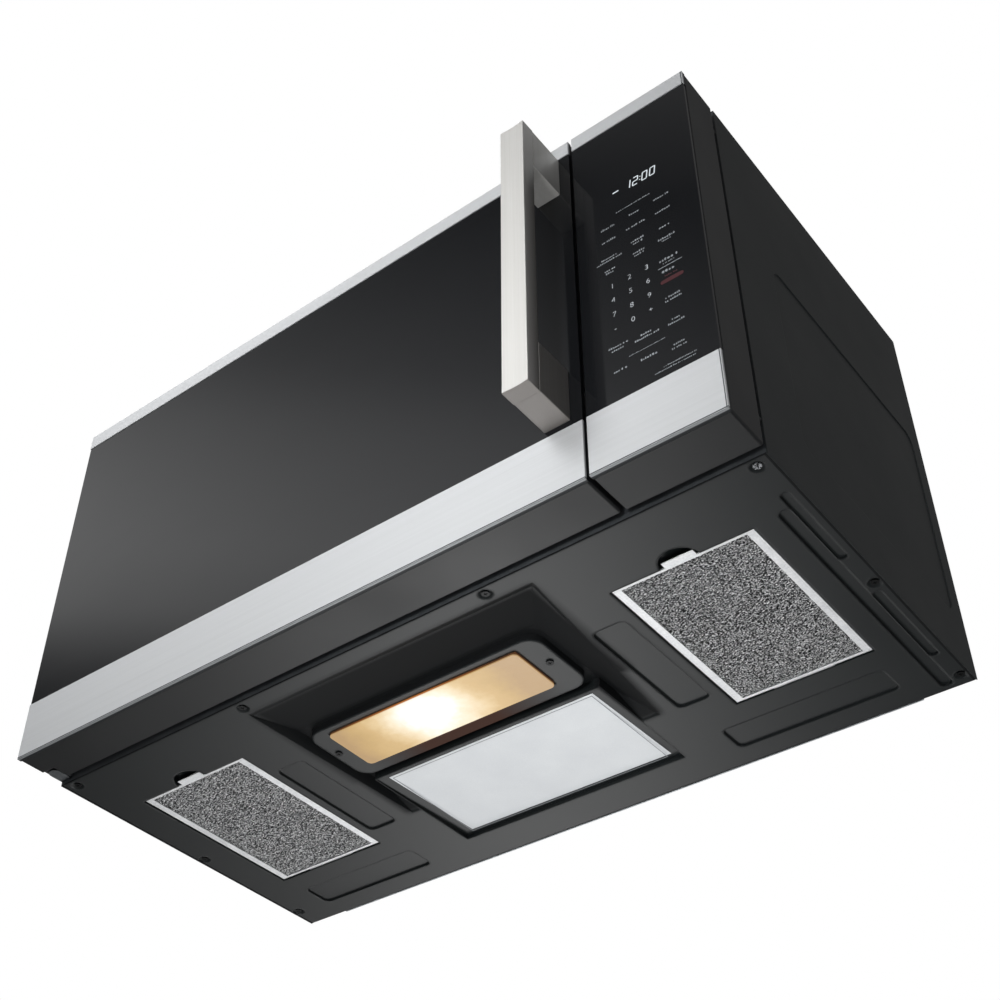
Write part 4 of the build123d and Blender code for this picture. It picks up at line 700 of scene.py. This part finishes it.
def join(name, pieces):
    """Makes several pieces one object."""
    pick(pieces[0])
    for piece in pieces:
        piece.select_set(True)
    bpy.ops.object.join()
    whole = bpy.context.active_object
    whole.name = name
    whole.data.name = name
    return whole


def finish_piece(piece, body, finish, replaced=()):
    """Material, slot, body and the solids that the piece stands for."""
    dress(piece, finishes[finish])
    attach(piece, body)
    if replaced:
        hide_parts(*replaced)
    print(piece.name, len(piece.data.polygons), "faces on", body)


# %% [markdown]
# ## Expanded metal nets in the grease filters
# A grease filter is several sheets of slit and stretched aluminium in a frame. Each sheet is
# rows of zigzag strands that meet at their corners. One strand is a long strip of small faces
# whose every second column is pushed back and up. A second strand, one column over, meets it,
# and an array repeats the pair. Each filter gets four sheets, shifted a little from each other:
# the outer two are painted bright and the two between get painted shade, which gives the net
# its depth. The solids hold only a coarse grid, so these nets replace it.

# %% Filter nets
net_step = 2.6 * MM
net_wave = 1.35 * MM
net_strand = 0.62 * MM
net_lift = 0.95 * MM
net_sheet = 0.2 * MM
net_jitter = 0.28 * MM
net_pitch = 1.5 * MM
net_drop = 2.3 * MM


def strand_row(name, low, high, level, odd):
    """A zigzag strand along X, whose odd or even columns are pushed back and up."""
    columns = 2 * int((high.x - low.x) / net_step / 2)
    step = (high.x - low.x) / columns
    back = net_wave if odd else 0.0
    strand = start("grid", name, x_subdivisions=columns, y_subdivisions=1, size=1.0)
    strand.scale = (high.x - low.x, net_strand, 1.0)
    settle(strand)
    strand.data.transform(Matrix.Translation(
        ((low.x + high.x) / 2, low.y + back + net_strand / 2, level)))
    choose(strand, "VERT", lambda co: round((co.x - low.x) / step) % 2 == (0 if odd else 1))
    bpy.ops.transform.translate(value=(0.0, net_wave, net_lift))
    done()
    return strand


def net_layer(name, low, high, level, seed):
    """One expanded sheet between two corners, at a level, a little uneven as real ones are."""
    pair = join(name, [strand_row(name, low, high, level, False),
                       strand_row(name + "_other", low, high, level, True)])
    rows = int((high.y - low.y) / (2 * net_wave))
    modify(pair, "ARRAY", count=rows, use_relative_offset=False, use_constant_offset=True,
           constant_offset_displace=(0.0, (high.y - low.y - 2 * net_wave) / rows, 0.0))
    choose(pair, "VERT", lambda co: True)
    bpy.ops.transform.vertex_random(offset=net_jitter, uniform=0.2, seed=seed)
    done()
    modify(pair, "SOLIDIFY", thickness=net_sheet)
    return pair


# The outer sheets are painted bright, and the two between get painted shade.
net_finishes = ("filter_net", "net_shade", "net_deep", "filter_net")
for side in ("left", "right"):
    low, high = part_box(f"filter_mesh_{side}")
    for at, finish in enumerate(net_finishes):
        level = low.z - net_drop + at * net_pitch
        sheet = net_layer(f"net_{side}_{at}", low, high, level, at + 1)
        sheet.data.transform(Matrix.Translation((0.0, at * net_wave / 3, 0.0)))
        finish_piece(sheet, f"{side}_filter", finish, (f"filter_mesh_{side}",))

# %% [markdown]
# ## Lens of the cooktop lamp
# The lens is one pressed glass pane that stands a few millimetres out of its cover, with round
# corners and a soft lower edge. A cube is sized, its four upright edges are bevelled for the
# corners, and then the rim of the lower face for the soft edge. Its sides glow amber, since
# there the light has the longest way through the glass.

# %% Lamp lens
lens_low, lens_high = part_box("lamp_lens")
lens_wall = 1.2 * MM
lens_drop = 0.3 * MM
corner_radius = 5.0 * MM
rim_radius = 0.4 * MM
near = 0.1 * MM
pane_low = Vector((lens_low.x + lens_wall, lens_low.y + lens_wall, lens_drop))
pane_high = Vector((lens_high.x - lens_wall, lens_high.y - lens_wall, lens_high.z))
lens = start("cube", "lamp_pane", size=1.0)
lens.scale = pane_high - pane_low
lens.location = (pane_low + pane_high) / 2
settle(lens)
middle_z = (pane_low.z + pane_high.z) / 2
choose(lens, "EDGE", lambda co: abs(co.z - middle_z) < near)
bpy.ops.mesh.bevel(offset=corner_radius, segments=5)
done()
choose(lens, "EDGE", lambda co: co.z < pane_low.z + near)
bpy.ops.mesh.bevel(offset=rim_radius, segments=3)
done()
finish_piece(lens, "case", "lens_glass", ("lamp_lens",))

# %% [markdown]
# ## Digits of the clock
# The clock is a seven segment display behind the glass. Each segment is a bar with pointed
# ends: a six sided disc pulled long. A digit takes the segments it lights, and the whole clock
# leans a little, as such displays do. It sits a twentieth of a millimetre proud of the glass.

# %% Clock
glass_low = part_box("panel_glass")[0]
print_level = glass_low.y - 0.05 * MM
print_sheet = 0.10 * MM
clock_light = Finish("clock_light")
clock_grain = clock_light.noise(900.0, 2.0, 0.5)
finishes["clock_light"] = clock_light.surface(
    Base_Color=tone("20262a"), Roughness=0.4, Emission_Strength=0.85,
    Emission_Color=clock_light.between(clock_grain, tone("e2ecf2"), tone("f6fbff")))


def segment(name, middle, length, width, upright):
    """A pointed bar in the XZ plane, given thickness towards the glass."""
    bar = start("circle", name, vertices=6, radius=width / math.sqrt(3.0), fill_type="NGON")
    bar.data.transform(Matrix.Rotation(math.radians(30.0), 4, "Z"))
    choose(bar, "VERT", lambda co: co.x > width / 9)
    bpy.ops.transform.translate(value=(length / 2 - width / 2, 0.0, 0.0))
    done()
    choose(bar, "VERT", lambda co: co.x < -width / 9)
    bpy.ops.transform.translate(value=(width / 2 - length / 2, 0.0, 0.0))
    done()
    choose(bar, "FACE", lambda co: True)
    bpy.ops.mesh.extrude_region_move(TRANSFORM_OT_translate={"value": (0.0, 0.0, print_sheet)})
    bpy.ops.mesh.select_all(action="SELECT")
    bpy.ops.mesh.normals_make_consistent(inside=False)
    done()
    if upright:
        bar.data.transform(Matrix.Rotation(math.radians(90.0), 4, "Z"))
    bar.data.transform(Matrix.Translation(middle) @ Matrix.Rotation(math.radians(90.0), 4, "X"))
    return bar


def clock_digit(left, base, lit, size):
    """The lit segments of a digit whose lower left corner is given; size is width and height."""
    wide, tall = size
    places = {"top": (0.5, 1.0, 0), "middle": (0.5, 0.5, 0), "bottom": (0.5, 0.0, 0),
              "upper_left": (0.0, 0.75, 1), "upper_right": (1.0, 0.75, 1),
              "lower_left": (0.0, 0.25, 1), "lower_right": (1.0, 0.25, 1)}
    bars = []
    for name in lit:
        across, up, upright = places[name]
        length = tall / 2 if upright else wide
        middle = (left + across * wide, print_level, base + up * tall)
        bars.append(segment(f"bar_{name}", middle, length, bar_share * tall, upright))
    return bars


clock_left, clock_base = 313.5 * MM, 300.6 * MM
digit_size = (4.6 * MM, 9.6 * MM)
digit_pitch = 7.6 * MM
bar_share = 0.105
colon_room = 1.6 * MM
dot_size = 1.1 * MM
clock_lean = 0.14
rim = ["top", "upper_left", "upper_right", "lower_left", "lower_right", "bottom"]
shown = (("upper_right", "lower_right"),
         ("top", "upper_right", "middle", "lower_left", "bottom"), rim, rim)
bars = []
for at, lit in enumerate(shown):
    gap = colon_room if at > 1 else 0.0
    bars += clock_digit(clock_left + at * digit_pitch + gap, clock_base, lit, digit_size)
for up in (0.3, 0.7):
    bars.append(segment("dot", (clock_left + 2 * digit_pitch - 0.6 * MM, print_level,
                                clock_base + up * digit_size[1]), dot_size, dot_size, False))
bars.append(segment("dash", (303.6 * MM, print_level, 305.6 * MM), 6.0 * MM, 1.3 * MM, False))
clock = join("clock_digits", bars)
lean = Matrix.Identity(4)
lean[0][2] = clock_lean
lean[0][3] = -clock_lean * (clock_base + digit_size[1] / 2)
clock.data.transform(lean)
finish_piece(clock, "case", "clock_light")

# %% [markdown]
# ## Printed keys
# The keys are only printing on the glass. The numbers are text, made a mesh before it is placed,
# because a finished piece is a mesh with its place in it. The rows round them are small rounded
# ticks, which mean nothing. One tick is modelled, and a row is copies of it, drawn at uneven
# widths and heights. The draws start from a fixed seed, so every run prints the same rows.

# %% Key numbers
def print_finish(name, light, dark, glow):
    """Patchy ink that also gives off a little painted light."""
    ink = Finish(name)
    patchy = ink.noise(1400.0, 2.0, 0.6)
    return ink.surface(
        Base_Color=ink.between(patchy, tone(dark), tone(light)), Roughness=0.5,
        Emission_Color=ink.between(patchy, tone(dark), tone(light)), Emission_Strength=glow)


# The glow of the ink is painted light on the print.
finishes["key_white"] = print_finish("key_white", "a6aaae", "85898d", 0.12)
finishes["key_grey"] = print_finish("key_grey", "7d8185", "63676b", 0.10)
finishes["key_red"] = print_finish("key_red", "42191e", "301317", 0.10)


def number_mesh(text, x, z, tall):
    """A number as a mesh on the glass, centred at a place, given in millimetres."""
    bpy.ops.object.select_all(action="DESELECT")
    bpy.ops.object.text_add(location=(0.0, 0.0, 0.0))
    curve = bpy.context.active_object.data
    curve.body = text
    curve.size = tall * MM * 1.4
    curve.align_x = "CENTER"
    curve.align_y = "CENTER"
    curve.extrude = print_sheet / 2
    curve.offset = -0.012 * curve.size
    curve.resolution_u = 4
    bpy.ops.object.convert(target="MESH")
    flat = bpy.context.active_object
    upright = Matrix.Rotation(math.radians(90.0), 4, "X")
    flat.data.transform(Matrix.Translation((x * MM, print_level, z * MM)) @ upright)
    return flat


number_columns = (293.6, 309.9, 326.1)
number_rows = (191.6, 175.0, 158.2, 141.6)
number_tall = 5.6
number_keys = ("1", "2", "3", "4", "5", "6", "7", "8", "9", "-", "0", "+")
numbers = [number_mesh(key, number_columns[at % 3], number_rows[at // 3], number_tall)
           for at, key in enumerate(number_keys)]
finish_piece(join("key_numbers", numbers), "case", "key_white")

# %% Rows of ticks
def print_bar(name, left, right, z, tall):
    """A rounded bar between two sides at a height, in millimetres."""
    bar = start("circle", name, vertices=12, radius=tall * MM / 2, fill_type="NGON")
    reach = (right - left - tall) * MM / 2
    choose(bar, "VERT", lambda co: co.x > MM / 100)
    bpy.ops.transform.translate(value=(reach, 0.0, 0.0))
    done()
    choose(bar, "VERT", lambda co: co.x < -MM / 100)
    bpy.ops.transform.translate(value=(-reach, 0.0, 0.0))
    done()
    choose(bar, "FACE", lambda co: True)
    bpy.ops.mesh.extrude_region_move(TRANSFORM_OT_translate={"value": (0.0, 0.0, print_sheet)})
    bpy.ops.mesh.select_all(action="SELECT")
    bpy.ops.mesh.normals_make_consistent(inside=False)
    done()
    upright = Matrix.Rotation(math.radians(90.0), 4, "X")
    middle = ((left + right) / 2 * MM, print_level, z * MM)
    bar.data.transform(Matrix.Translation(middle) @ upright)
    return bar


tick = print_bar("tick", -0.5, 0.5, 0.0, 1.0)
tick.data.transform(Matrix.Translation((0.0, -print_level, 0.0)))
chance = random.Random(12)


def tick_row(left, right, z, tall):
    """A row of ticks of uneven width between two sides, in millimetres."""
    ticks = []
    at = left
    while at < right - 0.4 * tall:
        wide = min(tall * chance.uniform(0.35, 0.8), right - at)
        high = tall * chance.choice((0.72, 0.72, 1.0))
        size = Matrix.Diagonal((wide, 1.0, high, 1.0))
        place = Matrix.Translation(((at + wide / 2) * MM, print_level, (z + high / 2) * MM))
        ticks.append(twin(tick, "tick_copy", place @ size))
        at += wide + tall * chance.choice((0.22, 0.22, 0.22, 0.22, 0.7))
    return ticks


row_places = (
    (302.4, 336.1, 278.5, 1.2),
    (286.6, 300.6, 265.5, 1.7), (314.5, 324.3, 265.9, 1.7), (338.1, 353.4, 266.8, 1.7),
    (286.7, 300.6, 249.3, 1.7), (310.5, 329.0, 250.0, 1.7), (338.5, 354.8, 249.1, 1.7),
    (285.0, 300.0, 228.0, 1.4), (280.4, 305.0, 224.6, 1.4), (313.9, 327.5, 231.0, 1.6),
    (316.0, 325.0, 227.6, 1.6), (340.6, 351.1, 228.6, 1.8), (287.5, 297.4, 213.0, 1.6),
    (288.5, 296.5, 209.6, 1.6), (314.8, 326.3, 216.0, 1.6), (316.0, 325.0, 212.6, 1.6),
    (338.5, 354.4, 214.6, 1.7), (342.0, 351.0, 211.4, 1.2), (339.5, 353.5, 145.0, 1.6),
    (339.0, 354.1, 141.2, 1.6), (343.0, 351.0, 118.8, 1.6), (339.3, 354.4, 114.8, 1.6),
    (342.0, 352.0, 91.4, 1.6), (340.3, 354.7, 87.6, 1.6), (315.0, 326.0, 119.4, 1.6),
    (309.6, 331.7, 115.6, 1.6), (285.9, 303.7, 121.8, 1.6), (288.5, 301.0, 118.0, 1.6),
    (289.1, 301.8, 94.6, 1.8), (313.3, 328.6, 93.0, 1.8), (303.5, 336.5, 103.6, 0.7),
    (332.0, 360.4, 74.2, 1.1), (324.1, 360.4, 71.0, 1.1))
row_ticks = []
for left, right, middle, tall in row_places:
    row_ticks += tick_row(left, right, middle - 0.7 * tall, 1.4 * tall)
finish_piece(join("key_bars", row_ticks), "case", "key_grey")

# %% The two large keys
block_bars = (tick_row(337.6, 354.2, 187.6, 3.2) + tick_row(340.6, 351.6, 184.2, 1.6)
              + [print_bar("divider", 335.8, 357.8, 181.0, 0.8)]
              + tick_row(339.0, 353.4, 174.0, 3.2))
finish_piece(join("key_start_stop", block_bars), "case", "key_grey")
red_bars = (tick_row(341.0, 352.4, 169.0, 1.8)
            + [print_bar("stop_patch", 336.9, 357.7, 164.0, 4.6)])
finish_piece(join("key_stop_red", red_bars), "case", "key_red")
bpy.data.objects.remove(tick)

# %% [markdown]
# ## Ruled lines on the label sheet
# The sheet beside the lamp is plain, with a fine ruled border. A plane is sized to the sheet, its
# face is inset twice, and the ring between the two insets is kept and given the thickness of
# print.

# %% Label border
sheet_low, sheet_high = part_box("label_plate")
border_gap = 0.05 * MM
border_inset = 2.2 * MM
border_line = 0.7 * MM
border_sheet = 0.08 * MM


def ruled_frame(name, low, high, inset, line):
    """A thin printed frame, set in from two corners of the sheet."""
    frame_lines = start("plane", name, size=1.0)
    frame_lines.scale = (high.x - low.x, high.y - low.y, 1.0)
    frame_lines.location = ((low.x + high.x) / 2, (low.y + high.y) / 2, low.z - border_gap)
    settle(frame_lines)
    choose(frame_lines, "FACE", lambda co: True)
    bpy.ops.mesh.inset(thickness=inset)
    bpy.ops.mesh.inset(thickness=line)
    bpy.ops.mesh.delete(type="FACE")
    done()
    keep = inset + line / 2
    span = (high - low) / 2
    middle = (high + low) / 2
    choose(frame_lines, "FACE", lambda co: not (
        abs(abs(co.x - middle.x) - (span.x - keep)) < line / 2
        or abs(abs(co.y - middle.y) - (span.y - keep)) < line / 2))
    bpy.ops.mesh.delete(type="FACE")
    done()
    modify(frame_lines, "SOLIDIFY", thickness=border_sheet)
    return frame_lines


border = ruled_frame("label_border", sheet_low, sheet_high, border_inset, border_line)
finish_piece(border, "case", "key_grey")

# %% [markdown]
# ## Floor and air
# The oven hangs over a pale floor a metre and a half down. A studio is never evenly bright, and
# dark glossy things are drawn by what they mirror. So the air and the floor look plain to the
# camera and to matt surfaces, while a mirror ray sees what stands round the real set: one long
# soft band of light high on the left, and three soft pools of light on the floor behind. To the
# camera alone the floor also gives off some light, which keeps it pale without more light on
# the oven. Light Path tells which kind of ray is asking.

# %% Floor
floor_level = -1.5
floor_side = 14.0
floor_glow = 0.95
floor_glow_share = 0.6
light_pools = ((-1.0, 0.95, 0.75, 5.4), (-1.65, 2.3, 0.80, 3.8), (-1.0, 1.9, 0.80, 1.0))
floor_dimness = 0.08
bpy.ops.object.select_all(action="DESELECT")
bpy.ops.mesh.primitive_plane_add(size=floor_side, location=(0.0, 0.0, floor_level))
floor = bpy.context.active_object
floor.name = "floor"
pale = Finish("pale_floor")
floor_grain = pale.noise(3.0, 2.0, 0.5)
matt = pale.node("BsdfDiffuse", {
    "Color": pale.between(floor_grain, tone("e6e6e6"), tone("ececec"))})
pool_light = floor_dimness
for x, y, radius, level in light_pools:
    off = pale.node("VectorMath", {0: pale.place(), 1: (x, y, 0.0)}, out="Value",
                    operation="DISTANCE")
    pool_light = pool_light + level * pale.node("MapRange", {
        "Value": off, "From Min": 0.0, "From Max": radius, "To Min": 1.0, "To Max": 0.0},
        interpolation_type="SMOOTHSTEP")
mirrored = pale.node("Emission", {"Color": (1.0, 1.0, 1.0, 1.0), "Strength": pool_light})
seen_floor = pale.node("Emission", {"Color": tone("f2f2f2"), "Strength": floor_glow})
for_camera = pale.node("LightPath", out="Is Camera Ray") * floor_glow_share
floor_surface = pale.node("MixShader", {0: for_camera, 1: matt, 2: seen_floor})
pale.node("OutputMaterial", {"Surface": pale.node("MixShader", {
    0: pale.node("LightPath", out="Is Glossy Ray"), 1: floor_surface, 2: mirrored})})
dress(floor, pale.material)
floor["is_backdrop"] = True
print("floor at", floor_level, "with", len(light_pools), "pools of light")

# %% Air
air = bpy.data.worlds.new("studio_air")
scene.world = air
sky = Nodes(air)
seen = (sky.node("LightPath", out="Is Camera Ray")
        + sky.node("LightPath", out="Is Transmission Ray"))
mirror = sky.node("LightPath", out="Is Glossy Ray")
band_across = (0.428, 0.486, 0.761)
across = sky.node("VectorMath", {0: sky.node("TexCoord", out="Generated"), 1: band_across},
                  out="Value", operation="DOT_PRODUCT")
band_peak = 1.2
band = sky.node("ValToRGB", {"Fac": across * 0.5 + 0.5}, stops=[
    (at, (level, level, level, 1.0)) for at, level in (
        (0.42, 0.0), (0.45, 0.17), (0.47, 0.84), (0.49, 0.97), (0.51, 0.80), (0.53, 0.60),
        (0.55, 0.31), (0.575, 0.16), (0.605, 0.04), (0.675, 0.40), (0.85, 0.13))])
room_level = 0.3
sky.node("OutputWorld", {"Surface": sky.node("Background", {
    "Color": (1.0, 1.0, 1.0, 1.0),
    "Strength": seen + (1.0 - seen) * (mirror * band * band_peak
                                       + (1.0 - mirror) * room_level)})})

# %% [markdown]
# ## Lamps
# Six soft lamps light the matt surfaces. Three are wide boxes: one high in front, one under the
# oven for the label, and one behind for the back. Three are spots with fully soft edges, because
# the strips and the handle are brightest in their middle: one for the lower strip, one for the
# upper strip, and one for the foot of the handle. Mirror rays don't see them, since the air and
# the floor do that part.

# %% Lamps
def aimed(lamp, place, target):
    """Turns a lamp to its target and hides it from the camera and from mirrors."""
    lamp.rotation_euler = (Vector(target) - Vector(place)).to_track_quat("-Z", "Y").to_euler()
    lamp.visible_camera = False
    lamp.visible_glossy = False


def soft_box(name, place, target, size, power):
    """A square lamp, its size in metres and its power in watts."""
    bpy.ops.object.light_add(type="AREA", location=place)
    lamp = bpy.context.active_object
    lamp.name = name
    lamp.data.size = size
    lamp.data.energy = power
    aimed(lamp, place, target)


def soft_spot(name, place, target, spread_angle, size, power):
    """A cone of light with a soft edge, its angle in degrees."""
    bpy.ops.object.light_add(type="SPOT", location=place)
    lamp = bpy.context.active_object
    lamp.name = name
    lamp.data.energy = power
    lamp.data.spot_size = math.radians(spread_angle)
    lamp.data.spot_blend = 1.0
    lamp.data.shadow_soft_size = size
    aimed(lamp, place, target)


soft_box("front_box", (-0.5, -2.2, 1.6), (0.0, -0.3, 0.15), 1.4, 38.0)
soft_box("under_box", (0.2, -0.4, -1.45), (0.0, -0.3, 0.15), 1.2, 15.0)
soft_box("back_box", (-0.3, 3.0, 1.7), (0.0, 0.0, 0.25), 1.4, 60.0)
soft_spot("lower_strip_spot", (0.35, -2.4, -0.6), (0.12, -0.4, 0.03), 22.0, 0.3, 170.0)
soft_spot("upper_strip_spot", (-0.6, -2.2, 1.6), (-0.25, -0.4, 0.42), 26.0, 0.3, 222.0)
soft_spot("handle_spot", (0.6, -2.4, -0.2), (0.24, -0.45, 0.10), 14.0, 0.2, 97.0)

# %% Sizes and finish
low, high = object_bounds()
